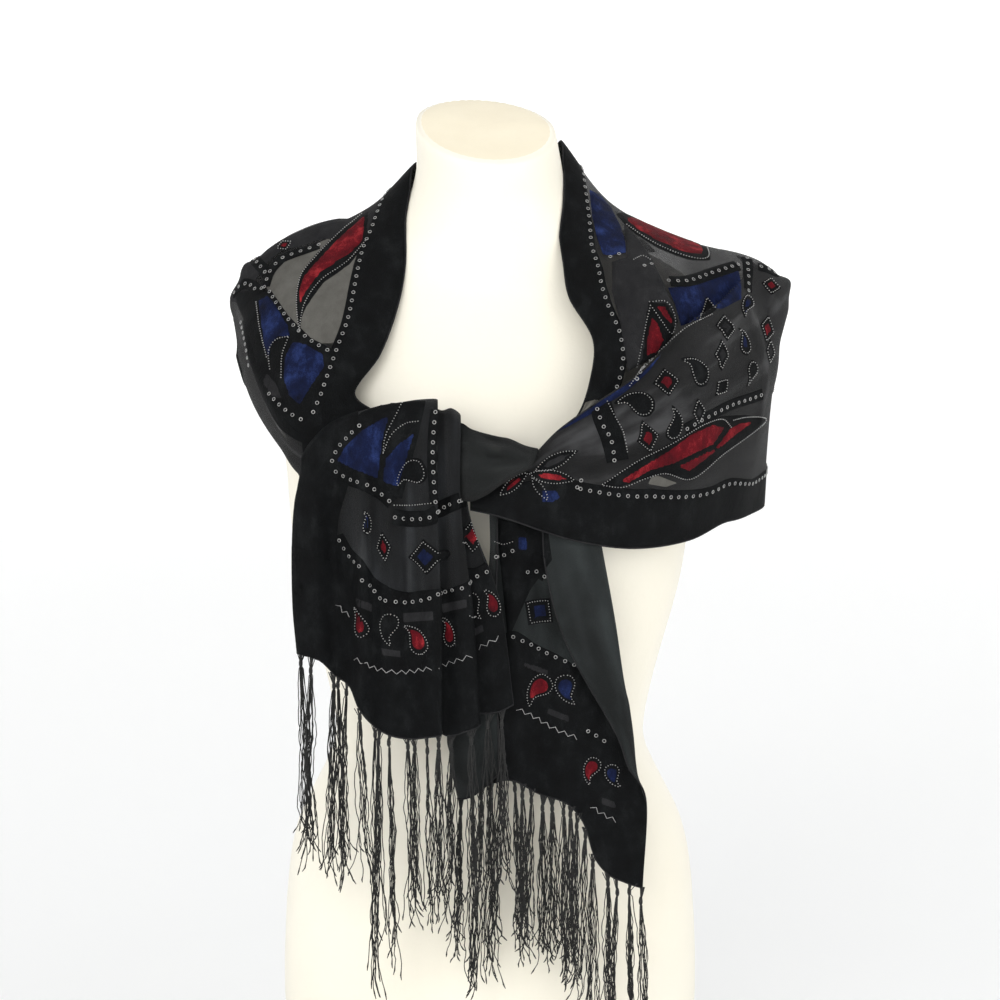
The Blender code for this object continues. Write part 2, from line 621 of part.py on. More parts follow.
FRONT_TASSELS = (
    (-141, 172), (-127, 168), (-114, 172), (-104, 170), (-96, 168), (-87, 176), (-74, 180),
    (-64, 172), (-54, 178), (-44, 170), (-27, 166), (-16, 160), (-5, 158), (9, 160),
)
UNDER_TASSELS = (
    (-19, 160), (-10, 166), (0, 160), (12, 168), (21, 160), (30, 164), (39, 158), (48, 162),
    (56, 158), (65, 166), (73, 160), (80, 172), (90, 176), (100, 178), (109, 182),
)
front_stops = np.cumsum((0,) + front_across)
front_picks = [k for k in range(front_stops[1], front_stops[18] + 1)
               if not (front_stops[10] < k < front_stops[12] or front_stops[14] < k < front_stops[16])]
under_stops = np.cumsum((0,) + under_across)
under_picks = list(range(under_stops[4], under_stops[14] + 1))
front_frame = hem_frame(front_grid, front_picks)
under_frame = hem_frame(under_grid, under_picks)
fringe("front_fringe", front_frame, FRONT_TASSELS)
fringe("under_fringe", under_frame, UNDER_TASSELS)
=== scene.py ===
"""Looks of the velvet shawl on its dress form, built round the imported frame."""

import json
import math
import random

import bmesh
import bpy
import numpy as np
from mathutils import Vector
from mathutils.bvhtree import BVHTree
from mathutils.geometry import delaunay_2d_cdt
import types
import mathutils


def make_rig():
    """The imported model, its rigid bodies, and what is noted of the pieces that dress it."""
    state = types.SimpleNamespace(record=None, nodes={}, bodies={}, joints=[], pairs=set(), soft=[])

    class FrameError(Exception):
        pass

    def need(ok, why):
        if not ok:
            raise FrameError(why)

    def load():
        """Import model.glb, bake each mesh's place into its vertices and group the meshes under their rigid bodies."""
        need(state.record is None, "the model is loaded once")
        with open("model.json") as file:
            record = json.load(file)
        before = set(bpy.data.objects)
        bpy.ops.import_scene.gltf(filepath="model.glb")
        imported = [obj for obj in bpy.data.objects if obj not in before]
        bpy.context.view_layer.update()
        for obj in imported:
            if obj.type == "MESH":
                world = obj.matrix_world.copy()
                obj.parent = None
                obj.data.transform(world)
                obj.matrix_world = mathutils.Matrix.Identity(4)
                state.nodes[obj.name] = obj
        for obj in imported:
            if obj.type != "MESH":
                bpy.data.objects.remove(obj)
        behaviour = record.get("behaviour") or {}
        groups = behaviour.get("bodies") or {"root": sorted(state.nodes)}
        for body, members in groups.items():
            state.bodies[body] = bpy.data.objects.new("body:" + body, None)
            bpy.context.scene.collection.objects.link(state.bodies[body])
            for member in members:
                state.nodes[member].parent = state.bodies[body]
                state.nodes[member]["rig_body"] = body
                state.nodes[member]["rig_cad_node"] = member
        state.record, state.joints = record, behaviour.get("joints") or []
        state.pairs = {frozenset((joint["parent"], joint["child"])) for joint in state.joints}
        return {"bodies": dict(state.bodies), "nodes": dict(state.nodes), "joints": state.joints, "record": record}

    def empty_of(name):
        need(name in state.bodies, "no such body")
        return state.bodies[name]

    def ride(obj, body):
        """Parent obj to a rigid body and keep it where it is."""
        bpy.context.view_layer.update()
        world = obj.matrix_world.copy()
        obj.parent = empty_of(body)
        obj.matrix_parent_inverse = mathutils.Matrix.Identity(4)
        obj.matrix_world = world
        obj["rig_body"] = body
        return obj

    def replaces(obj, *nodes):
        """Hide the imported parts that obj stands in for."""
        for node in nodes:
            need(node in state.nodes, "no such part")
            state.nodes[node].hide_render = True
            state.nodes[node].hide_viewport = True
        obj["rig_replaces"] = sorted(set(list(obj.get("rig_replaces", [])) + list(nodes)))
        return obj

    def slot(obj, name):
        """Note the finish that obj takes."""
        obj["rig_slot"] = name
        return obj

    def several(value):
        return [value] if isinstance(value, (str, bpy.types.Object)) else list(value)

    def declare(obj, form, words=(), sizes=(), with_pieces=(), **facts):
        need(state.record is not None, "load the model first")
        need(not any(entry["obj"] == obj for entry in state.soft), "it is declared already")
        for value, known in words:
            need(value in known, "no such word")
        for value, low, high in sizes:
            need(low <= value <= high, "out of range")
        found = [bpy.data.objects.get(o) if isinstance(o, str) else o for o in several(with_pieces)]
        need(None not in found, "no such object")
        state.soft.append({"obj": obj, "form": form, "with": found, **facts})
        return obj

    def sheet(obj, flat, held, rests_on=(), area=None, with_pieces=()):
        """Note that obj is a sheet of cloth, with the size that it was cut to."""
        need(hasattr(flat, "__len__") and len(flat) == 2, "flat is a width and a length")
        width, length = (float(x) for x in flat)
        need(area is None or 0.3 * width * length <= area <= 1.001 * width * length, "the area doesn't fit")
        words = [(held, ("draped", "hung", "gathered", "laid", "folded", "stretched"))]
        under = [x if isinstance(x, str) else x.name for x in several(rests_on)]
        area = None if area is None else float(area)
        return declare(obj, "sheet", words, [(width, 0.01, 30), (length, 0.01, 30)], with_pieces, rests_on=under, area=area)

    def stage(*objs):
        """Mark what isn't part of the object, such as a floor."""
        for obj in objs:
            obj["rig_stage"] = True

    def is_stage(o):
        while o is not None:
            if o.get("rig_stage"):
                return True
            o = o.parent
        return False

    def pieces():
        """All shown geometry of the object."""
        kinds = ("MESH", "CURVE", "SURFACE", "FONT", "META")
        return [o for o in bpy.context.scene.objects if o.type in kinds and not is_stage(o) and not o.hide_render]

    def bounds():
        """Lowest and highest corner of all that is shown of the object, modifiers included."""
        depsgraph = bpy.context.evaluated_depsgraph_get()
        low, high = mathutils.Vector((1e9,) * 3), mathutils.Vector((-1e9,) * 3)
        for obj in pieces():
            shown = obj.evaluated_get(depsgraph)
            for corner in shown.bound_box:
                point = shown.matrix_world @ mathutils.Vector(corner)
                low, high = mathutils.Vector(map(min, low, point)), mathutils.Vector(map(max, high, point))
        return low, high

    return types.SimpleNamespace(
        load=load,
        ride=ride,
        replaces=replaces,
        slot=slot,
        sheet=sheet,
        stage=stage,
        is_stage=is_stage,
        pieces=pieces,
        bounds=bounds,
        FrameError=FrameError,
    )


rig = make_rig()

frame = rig.load()
cad_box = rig.bounds()

# Camera, light and backdrop.
# The camera stands three metres off, ten degrees above level, and the frame is 780 mm wide.
# The backdrop is a pale round sweep of card, lit evenly from the front and from both sides. Its colour is painted
# darker towards the middle, as painted shade on the floor round the form.
MM = 0.001
DISTANCE = 3000
WIDE = 780
PIXELS = 1000
TILT = math.radians(10)
TARGET = np.array((8, 0, 516))
RIGHT = np.array((1, 0, 0))
UP = np.array((0, math.sin(TILT), math.cos(TILT)))
AHEAD = np.array((0, math.cos(TILT), -math.sin(TILT)))
EYE = TARGET - AHEAD * DISTANCE
lens = bpy.data.cameras.new("photo_camera")
lens.sensor_width = 36
lens.lens = lens.sensor_width * DISTANCE / WIDE
camera = bpy.data.objects.new("photo_camera", lens)
camera.location = EYE * MM
camera.rotation_euler = (math.radians(90) - TILT, 0, 0)
bpy.context.scene.collection.objects.link(camera)
bpy.context.scene.camera = camera


def soft_light(name, place, size, power):
    """A square area light that looks at the middle of the object."""
    data = bpy.data.lights.new(name, "AREA")
    data.size = size
    data.energy = power
    lamp = bpy.data.objects.new(name, data)
    lamp.location = place
    lamp.rotation_euler = (Vector((0, 0, 0.5)) - lamp.location).to_track_quat("-Z", "Y").to_euler()
    bpy.context.scene.collection.objects.link(lamp)


soft_light("key_light", (-0.8, -2.8, 1.7), 1.6, 37)
soft_light("side_light", (2.1, -1.9, 1.2), 1.4, 14)
soft_light("back_light", (0.3, 1.0, 2.4), 1.2, 8)
sky = bpy.data.worlds.new("studio")
sky.use_nodes = True
sky.node_tree.nodes["Background"].inputs["Color"].default_value = (0.98, 0.985, 1.0, 1)
sky.node_tree.nodes["Background"].inputs["Strength"].default_value = 0.58
bpy.context.scene.world = sky
bpy.context.scene.view_settings.view_transform = "Standard"


class Value:
    """A socket whose sums and products add Math nodes to its material."""

    def __init__(self, finish, socket):
        self.finish = finish
        self.socket = socket

    def joined(self, operation, first, second):
        return self.finish.node("ShaderNodeMath", {"operation": operation}, {0: first, 1: second})

    def __add__(self, other):
        return self.joined("ADD", self, other)

    def __sub__(self, other):
        return self.joined("SUBTRACT", self, other)

    def __rsub__(self, other):
        return self.joined("SUBTRACT", other, self)

    def __mul__(self, other):
        return self.joined("MULTIPLY", self, other)

    __radd__ = __add__
    __rmul__ = __mul__


class Finish:
    """One material and the nodes that are laid into it."""

    def __init__(self, name, **constants):
        self.material = bpy.data.materials.new(name)
        self.material.use_nodes = True
        self.tree = self.material.node_tree
        self.shader = self.tree.nodes["Principled BSDF"]
        for socket, value in constants.items():
            self.shader.inputs[socket.replace("_", " ")].default_value = value

    def node(self, kind, settings, sockets, out=0):
        made = self.tree.nodes.new(kind)
        for key, value in settings.items():
            if key == "stops":
                ramp = made.color_ramp
                while len(ramp.elements) < len(value):
                    ramp.elements.new(0.5)
                for element, (place, colour) in zip(ramp.elements, value):
                    element.position = place
                    element.color = (*colour, 1)
            else:
                setattr(made, key, value)
        for key, value in sockets.items():
            if isinstance(value, Value):
                self.tree.links.new(value.socket, made.inputs[key])
            else:
                made.inputs[key].default_value = value
        return Value(self, made.outputs[out])

    def feed(self, socket, value):
        self.tree.links.new(value.socket, self.shader.inputs[socket])

    def mottle(self, factor, *stops):
        """A base colour that runs through stops of (place, colour) as the factor rises."""
        self.feed("Base Color", self.node("ShaderNodeValToRGB", {"stops": stops}, {"Fac": factor}))

    def place(self):
        """Where a point of the surface is, in metres."""
        return self.node("ShaderNodeTexCoord", {}, {}, "Object")

    def noise(self, scale, detail=2, stretch=(1, 1, 1), rough=0.5):
        vector = self.place()
        if stretch != (1, 1, 1):
            vector = self.node("ShaderNodeMapping", {}, {"Vector": vector, "Scale": stretch})
        sockets = {"Vector": vector, "Scale": scale, "Detail": detail, "Roughness": rough}
        return self.node("ShaderNodeTexNoise", {}, sockets)

    def between(self, value, low, high, first, last):
        """A value that goes from first to last while another goes from low to high."""
        sockets = {"Value": value, "From Min": low, "From Max": high, "To Min": first, "To Max": last}
        return self.node("ShaderNodeMapRange", {}, sockets)

    def bump(self, height, depth):
        self.feed("Normal", self.node("ShaderNodeBump", {}, {"Height": height, "Distance": depth}))


def new_object(name, verts, faces, finish, body=True):
    """A smooth-shaded mesh from points in millimetres; a piece of the part rides on its body."""
    mesh = bpy.data.meshes.new(name)
    mesh.from_pydata([tuple(v) for v in np.asarray(verts, float) * MM], [], faces)
    mesh.materials.append(finish.material)
    mesh.polygons.foreach_set("use_smooth", [True] * len(mesh.polygons))
    made = bpy.data.objects.new(name, mesh)
    bpy.context.scene.collection.objects.link(made)
    if body:
        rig.ride(made, "root")
    return made


# Painted shade: the card's colour is darker near the form and whitens a few metres off.
CARD_PAINTED_SHADE = (0.62, 0.625, 0.625)
CARD_FAR = (0.97, 0.97, 0.965)
card = Finish("backdrop_card", Roughness=0.9, Emission_Color=(1, 1, 0.99, 1), Emission_Strength=0.3)
distance = card.node("ShaderNodeVectorMath", {"operation": "LENGTH"}, {0: card.place()}, "Value")
card.mottle(card.between(distance, 0.5, 4.5, 0, 0.8) + 0.2 * card.noise(0.5, 1),
            (0.1, CARD_PAINTED_SHADE), (0.9, CARD_FAR))
FLOOR_RADIUS = 5000
BEND_RADIUS = 1500
BEND_STEPS = 16
WALL_TOP = 4200
FLOOR_HOLE = 60
SWEEP_SIDES = 72
profile = [(FLOOR_HOLE, 0)]
for k in range(BEND_STEPS + 1):
    bend = math.pi / 2 * k / BEND_STEPS
    profile.append((FLOOR_RADIUS + BEND_RADIUS * math.sin(bend), BEND_RADIUS * (1 - math.cos(bend))))
profile.append((FLOOR_RADIUS + BEND_RADIUS, WALL_TOP))
sweep_turns = [2 * math.pi * k / SWEEP_SIDES for k in range(SWEEP_SIDES)]
sweep_verts = [(r * math.cos(a), r * math.sin(a), z) for r, z in profile for a in sweep_turns]
sweep_faces = [(i * SWEEP_SIDES + j, i * SWEEP_SIDES + (j + 1) % SWEEP_SIDES,
                (i + 1) * SWEEP_SIDES + (j + 1) % SWEEP_SIDES, (i + 1) * SWEEP_SIDES + j)
               for i in range(len(profile) - 1) for j in range(SWEEP_SIDES)]
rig.stage(new_object("backdrop", sweep_verts, sweep_faces, card, body=False))

# The dress form.
# A limbless torso moulded in one piece from cream plastic with a low, even gloss, cut flat at
# the hips. Its neck ends in a sloping cap of slightly yellower plastic, lowest in front.
CAP_HEIGHT = 0.809
CAP_SLOPES = (-0.0875, 0.3153)
CAP_RIM = 0.001
CAP_DROP = 0.155
CAP_FRONT = 0.01
NECK_TOP = 0.79
NECK_BEND = 0.05
BASE_ANGLE = math.radians(75)
BASE_RIM = 0.012
SAME_POINT = 0.0001
plastic = Finish("form_cream", Roughness=0.38, Coat_Roughness=0.25)
plastic.mottle(plastic.noise(7, 3), (0.35, (0.85, 0.805, 0.68)), (0.65, (0.88, 0.84, 0.725)))
plastic.feed("Roughness", 0.33 + 0.1 * plastic.noise(24, 4))
plastic.bump(plastic.noise(260, 3), 0.0002)
cap_plastic = Finish("form_cap", Roughness=0.45)
cap_plastic.mottle(cap_plastic.noise(30, 3), (0.35, (0.80, 0.72, 0.54)), (0.65, (0.83, 0.755, 0.575)))
cap_plastic.bump(cap_plastic.noise(420, 3), 0.0002)
form_node = frame["nodes"]["dress_form"]
form_mesh = form_node.data.copy()
form_mesh.materials.clear()
form_mesh.materials.append(plastic.material)
form_mesh.materials.append(cap_plastic.material)
shape = bmesh.new()
shape.from_mesh(form_mesh)
bmesh.ops.remove_doubles(shape, verts=shape.verts, dist=SAME_POINT)
hard = shape.edges.layers.float.new("crease_edge")
for edge in shape.edges:
    if len(edge.link_faces) == 2 and edge.calc_face_angle() > BASE_ANGLE:
        edge[hard] = 1
        edge.smooth = False
    if max(v.co.z for v in edge.verts) < BASE_RIM:
        edge[hard] = 1
for face in shape.faces:
    face.smooth = True
    lift = min(v.co.z - CAP_HEIGHT - v.co.x * CAP_SLOPES[0] - v.co.y * CAP_SLOPES[1] for v in face.verts)
    face.material_index = 1 if lift > -CAP_RIM else 0
for vert in shape.verts:
    high = min(1, max(0, 1 - (NECK_TOP - vert.co.z) / NECK_BEND))
    vert.co.z -= CAP_DROP * max(0, CAP_FRONT - vert.co.y) * high
shape.to_mesh(form_mesh)
form = bpy.data.objects.new("form_body", form_mesh)
bpy.context.scene.collection.objects.link(form)
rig.ride(form, "root")
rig.replaces(form, "dress_form")
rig.slot(form, "form_cream")
round_off = form.modifiers.new("round", "SUBSURF")
round_off.levels = 1
round_off.render_levels = 1
bpy.context.view_layer.update()
shown = form.evaluated_get(bpy.context.evaluated_depsgraph_get()).to_mesh()
form_verts = [v.co / MM for v in shown.vertices]
form_tree = BVHTree.FromPolygons(form_verts, [tuple(p.vertices) for p in shown.polygons])

# The cloth round the shoulders.
# One length of sheer silk georgette goes from the knot over both shoulders and across the back.
# On the photograph's right its front is folded back on itself, so its outer half lies on top.
YOKE = (
    ((-22, -117, 585), (-22, -122, 578), (-22, -125, 570), (-22, -126, 562),
     (-22, -125, 554), (-22, -122, 546), (-22, -117, 540)),
    ((-88, -109, 604), (-84, -116, 594), (-82, -121, 583), (-80, -125, 572),
     (-80, -126, 562), (-82, -124, 553), (-85, -119, 545)),
    ((-101, -103, 615), (-110, -112, 604), (-121, -118, 591), (-130, -119, 578),
     (-138, -115, 566), (-142, -108, 556), (-140, -98, 549)),
    ((-82, -86, 643), (-107, -102, 629), (-132, -112, 612), (-152, -110, 595),
     (-159, -100, 582), (-158, -90, 572), (-148, -82, 566)),
    ((-67, -55, 685), (-100, -75, 669), (-138, -86, 650), (-166, -81, 630),
     (-181, -64, 611), (-179, -52, 597), (-168, -44, 589)),
    ((-62, -20, 733), (-98, -33, 716), (-142, -43, 695), (-180, -39, 671),
     (-195, -24, 649), (-194, -17, 630), (-182, -14, 617)),
    ((-59, 20, 775), (-90, 14, 745), (-138, 8, 722), (-183, 4, 697),
     (-201, 6, 674), (-198, 12, 650), (-186, 17, 634)),
    ((-46, 60, 772), (-84, 80, 728), (-126, 96, 686), (-156, 97, 655),
     (-166, 92, 620), (-163, 86, 585), (-152, 80, 552)),
    ((-24, 76, 778), (-46, 98, 732), (-70, 118, 685), (-88, 124, 632),
     (-98, 122, 575), (-103, 115, 515), (-106, 108, 455)),
    ((0, 80, 781), (0, 103, 732), (0, 120, 684), (0, 128, 626),
     (0, 126, 560), (0, 120, 490), (0, 114, 420)),
    ((24, 76, 783), (46, 98, 735), (70, 118, 687), (88, 124, 632),
     (98, 122, 572), (104, 114, 510), (108, 106, 448)),
    ((46, 60, 782), (86, 82, 732), (132, 98, 691), (170, 97, 658),
     (195, 88, 608), (203, 78, 555), (204, 68, 504)),
    ((56, 25, 793), (94, 18, 746), (150, 10, 719), (213, 1, 700),
     (231, -4, 671), (219, -5, 604), (213, -6, 512)),
    ((53, -30, 732), (98, -45, 716), (150, -50, 703), (198, -30, 694),
     (218, -38, 650), (211, -42, 585), (199, -38, 511), -5, 0.5),
    ((56, -50, 707), (100, -64, 704), (146, -66, 698), (188, -48, 690),
     (204, -57, 641), (200, -60, 578), (190, -56, 511), 5, 1),
    ((60, -68, 684), (100, -80, 687), (138, -80, 688), (176, -67, 681),
     (188, -78, 632), (185, -78, 572), (178, -72, 511), 16, 1),
    ((78, -92, 654), (99, -98, 653), (122, -99, 652), (146, -103, 665),
     (156, -112, 615), (157, -109, 560), (151, -100, 503), 30, 1),
    ((76, -106, 628), (87, -109, 629), (99, -109, 628), (112, -121, 634),
     (118, -132, 592), (116, -135, 548), (108, -129, 502), 36, 1),
    ((66, -113, 600), (70, -116, 603), (73, -119, 604), (76, -133, 611),
     (78, -144, 578), (74, -147, 543), (66, -144, 510), 36, 1),
    ((46, -123, 583), (48, -126, 586), (49, -129, 588), (50, -139, 593),
     (47, -148, 570), (42, -152, 545), (36, -149, 520), 26, 1),
    ((32, -125, 568), (33, -128, 570), (33, -131, 571), (33, -142, 576),
     (29, -148, 560), (24, -151, 543), (20, -150, 526), 20, 1),
    ((8, -128, 552), (9, -131, 553), (9, -134, 553), (10, -145, 555),
     (8, -149, 547), (6, -151, 539), (4, -150, 531), 9, 1),
    ((-13, -124, 545), (-13, -127, 545), (-13, -130, 545), (-13, -140, 547),
     (-14, -143, 543), (-14, -145, 538), (-14, -144, 534), 5, 1),
)
FOLD_RADIUS = 1.8
LAYER = 3.6
CLEAR = 1.2
YOKE_ACROSS = (14, 14, 14, 4, 4, 12, 4, 4, 16, 16, 12)
YOKE_ALONG = 9
FINE = 20
OPEN_STEPS = [49, 53, 57, 60, 62, 65]
WEAVE_PITCH = 9000
NEARER = 80


def spline(points, splits):
    """Centripetal Catmull-Rom through the points, with splits[i] steps in interval i."""
    pts = np.asarray(points, float)
    gaps = np.sqrt(np.linalg.norm(np.diff(pts, axis=0), axis=1)) + 1e-3
    slopes = np.diff(pts, axis=0) / gaps[:, None]
    before = gaps[:-1, None]
    after = gaps[1:, None]
    inner = (slopes[:-1] * after + slopes[1:] * before) / (before + after)
    tangents = np.concatenate([slopes[:1], inner, slopes[-1:]])
    out = []
    for i, count in enumerate(splits):
        t = (np.arange(count) / count)[:, None]
        out.append((2 * t ** 3 - 3 * t ** 2 + 1) * pts[i] + (t ** 3 - 2 * t ** 2 + t) * gaps[i] * tangents[i]
                   + (3 * t ** 2 - 2 * t ** 3) * pts[i + 1] + (t ** 3 - t ** 2) * gaps[i] * tangents[i + 1])
    out.append(pts[-1:])
    return np.concatenate(out)


def loft(sections, across, along):
    """Grid [row, column, xyz] through sections, smooth both ways."""
    rows = np.array([spline(section, across) for section in sections])
    return np.stack([spline(rows[:, j], along) for j in range(rows.shape[1])], axis=1)


def bisector(grid, axis):
    """Direction through each grid point along an axis, both neighbours weighing the same."""
    step = np.diff(grid, axis=axis)
    step /= np.linalg.norm(step, axis=2, keepdims=True) + 1e-9
    first = np.take(step, [0], axis=axis)
    last = np.take(step, [-1], axis=axis)
    return np.concatenate([first, step], axis=axis) + np.concatenate([step, last], axis=axis)


def running(lengths):
    """How far along each point is, from the lengths between the points."""
    return np.concatenate([[0], np.cumsum(lengths)])


def grid_faces(rows, columns):
    """Faces of a grid whose points are kept row by row."""
    return [(k + j, k + j + 1, k + columns + j + 1, k + columns + j)
            for k in range(0, (rows - 1) * columns, columns) for j in range(columns - 1)]


class Cloth:
    """A stretch of cloth as a grid of points in millimetres, and where things sit on it."""

    def __init__(self, grid, name):
        self.name = name
        self.grid = grid
        self.raised = np.zeros(grid.shape[:2])
        self.reach = DISTANCE - NEARER
        self.settle()

    def settle(self):
        """Work out the grid's normals and its search tree again."""
        normal = np.cross(bisector(self.grid, 0), bisector(self.grid, 1))
        self.normals = normal / (np.linalg.norm(normal, axis=2, keepdims=True) + 1e-9)
        self.faces = grid_faces(*self.grid.shape[:2])
        self.tree = BVHTree.FromPolygons([tuple(p) for p in self.grid.reshape(-1, 3)], self.faces)

    def way_out(self, face):
        """The cloth's smooth normal on one of its cells."""
        row, column = divmod(face, self.grid.shape[1] - 1)
        total = self.normals[row:row + 2, column:column + 2].sum(axis=(0, 1))
        return total / (np.linalg.norm(total) + 1e-9)

    def near(self, point):
        """The nearest place of the cloth, with its normal."""
        place, _normal, face, _far = self.tree.find_nearest(Vector(point))
        return np.array(place), self.way_out(face)

    def seen(self, px, py):
        """Where the camera sees the cloth at a pixel, and the way out towards the camera."""
        middle = PIXELS / 2
        aim = AHEAD * DISTANCE + RIGHT * (px - middle) * WIDE / PIXELS + UP * (middle - py) * WIDE / PIXELS
        aim = aim / np.linalg.norm(aim)
        place, _normal, face, _far = self.tree.ray_cast(Vector(EYE), Vector(aim))
        if place is None:
            place, _normal, face, _far = self.tree.find_nearest(Vector(EYE + aim * self.reach))
        self.reach = np.linalg.norm(np.array(place) - EYE)
        out = self.way_out(face)
        return np.array(place), (out if out @ aim < 0 else -out)

    def spot(self, row, column):
        """The place at a row and column of the grid, and the way out there."""
        return self.grid[row, column], self.normals[row, column]

    def crease(self, path, height, width, columns=slice(None)):
        """Raise (or with a minus, sink) a soft fold along a line of points on some of the columns."""
        points = self.grid[:, columns].reshape(-1, 3)
        path = np.array(path)
        lengths = np.linalg.norm(np.diff(path, axis=0), axis=1)
        walk = running(lengths)
        best = np.full(len(points), 1e9)
        share = np.zeros(len(points))
        for k, length in enumerate(lengths):
            way = (path[k + 1] - path[k]) / (length + 1e-9)
            t = np.clip((points - path[k]) @ way, 0, length)
            far = np.linalg.norm(points - path[k] - t[:, None] * way, axis=1)
            closer = far < best
            best[closer] = far[closer]
            share[closer] = ((walk[k] + t) / walk[-1])[closer]
        rise = height * np.exp(-(best / width) ** 2) * np.sqrt(np.clip(np.sin(np.pi * share), 0, 1))
        moved = points + self.normals[:, columns].reshape(-1, 3) * rise[:, None]
        self.grid[:, columns] = moved.reshape(self.grid[:, columns].shape)
        self.raised[:, columns] += rise.reshape(self.raised[:, columns].shape)

    def piece(self, finish):
        """The cloth's own object: one UV map is its weave in metres, one how far its creases rise."""
        made = new_object(self.name, self.grid.reshape(-1, 3), self.faces, finish)
        down = running(np.linalg.norm(np.diff(self.grid, axis=0), axis=2).mean(axis=1))
        over = running(np.linalg.norm(np.diff(self.grid, axis=1), axis=2).mean(axis=0))
        weave = np.stack(np.meshgrid(down, over, indexing="ij"), axis=2).reshape(-1, 2) * MM
        index = np.empty(len(made.data.loops), int)
        made.data.loops.foreach_get("vertex_index", index)
        for name, values in (("weave", weave), ("folds", np.repeat(self.raised.reshape(-1, 1), 2, axis=1))):
            made.data.uv_layers.new(name=name).data.foreach_set("uv", values[index].ravel())
        self.flat = (over[-1] * MM, down[-1] * MM)
        return made


def clear_of_form(grid, gap):
    """Push the points of a grid out until they clear the form by the gap."""
    out = grid.reshape(-1, 3).copy()
    for _ in range(2):
        for k, point in enumerate(out):
            near, normal, _face, _far = form_tree.find_nearest(Vector(point))
            offset = Vector(point) - near
            depth = offset.length if offset.dot(normal) > 0 else -offset.length
            if depth < gap:
                out[k] += np.array(normal) * (gap - depth)
    return out.reshape(grid.shape)


def folded(section, along):
    """Twelve controls of a section: open, half turned at the fold's start, or folded flat."""
    pts = [np.array(p, float) for p in section[:7]]
    if len(section) == 7:
        return [*pts[:3], *spline(pts, (FINE,) * 6)[OPEN_STEPS], *pts[4:]]
    tuck, shut = section[7:]
    crest = pts[3]
    fall = (pts[4] - crest) / np.linalg.norm(pts[4] - crest)
    out = np.cross(fall, along)
    out *= -np.sign(out[1]) / np.linalg.norm(out)
    if shut < 1:
        turn = ((tuck - 6, 1), (tuck - 2, 0.9), (tuck + 1, 0.65), (-2.5, 0.4), (0, 0.1), (3.5, 0))
    else:
        turn = ((tuck - FOLD_RADIUS, 2), (tuck, 1.5), (tuck - FOLD_RADIUS, 1), (FOLD_RADIUS, 1), (0, 0.5),
                (FOLD_RADIUS + 0.6, 0))
    return [*pts[:3], *(crest + fall * reach - out * LAYER * layers for reach, layers in turn), *pts[4:]]


def georgette(name, alpha, tone, streak_highlight_gain, covers=()):
    """Sheer crepe: a fine, uneven weave, denser where a cover (gain, then its ranges) thickens it, with painted
    highlight streaks and painted light and shade on its creases.
    """
    cloth = Finish(name, Roughness=0.8, Specular_IOR_Level=0.2, Sheen_Weight=0.04, Sheen_Roughness=0.4)
    weave = cloth.node("ShaderNodeUVMap", {"uv_map": "weave"}, {})
    split = [cloth.node("ShaderNodeSeparateXYZ", {}, {0: weave}, axis) for axis in ("X", "Y")]
    threads = [cloth.node("ShaderNodeMath", {"operation": "SINE"}, {0: axis * WEAVE_PITCH}) for axis in split]
    grain = threads[0] * threads[1]
    patchy = cloth.noise(28, 4)
    # Long streaks along the cloth are painted highlights: paler in the colour, and thinner in the alpha so that more
    # light shows through.
    stretched = cloth.node("ShaderNodeMapping", {}, {"Vector": weave, "Scale": (9, 38, 1)})
    streaks = cloth.node("ShaderNodeTexNoise", {}, {"Vector": stretched, "Scale": 1, "Detail": 3})
    crepe = cloth.noise(900, 2)
    # Painted light and shade on the creases: a raised crest is painted paler and more see-through, a sunk crease
    # darker and denser.
    folds = cloth.node("ShaderNodeUVMap", {"uv_map": "folds"}, {})
    rise = cloth.node("ShaderNodeSeparateXYZ", {}, {0: folds}, 0)
    crease_shading = cloth.between(rise, -1.2, 3, -0.07, 0.11)
    # The pale stop, the tone times the highlight gain, is the painted highlight of the streaks and crease crests.
    dark, light, pale = (tuple(c * gain for c in tone) for gain in (0.5, 1.3, streak_highlight_gain))
    cloth.mottle(patchy * 0.25 + streaks * 0.75 + crease_shading, (0.40, dark), (0.54, light), (0.66, pale))
    for gain, *ranges in covers:
        share = 1.0
        for axis, low, high in ranges:
            share = share * cloth.between(split[axis], low, high, 0, 1)
        alpha = alpha + gain * share
    cloth.feed("Alpha", alpha + 0.02 * grain + 0.12 * (patchy - 0.5) + 0.5 * (0.5 - streaks) - crease_shading)
    cloth.feed("Roughness", 0.6 + 0.2 * crepe)
    cloth.bump(grain * 0.25 + crepe + cloth.noise(60, 5), 0.0006)
    return cloth


middles = [np.array(s[3], float) + s[4] for s in YOKE]
last = len(YOKE) - 1
controls = [folded(section, middles[min(k + 1, last)] - middles[max(k - 1, 0)])
            for k, section in enumerate(YOKE)]
yoke = Cloth(clear_of_form(loft(controls, YOKE_ACROSS, (YOKE_ALONG,) * last), CLEAR), "shawl_yoke")

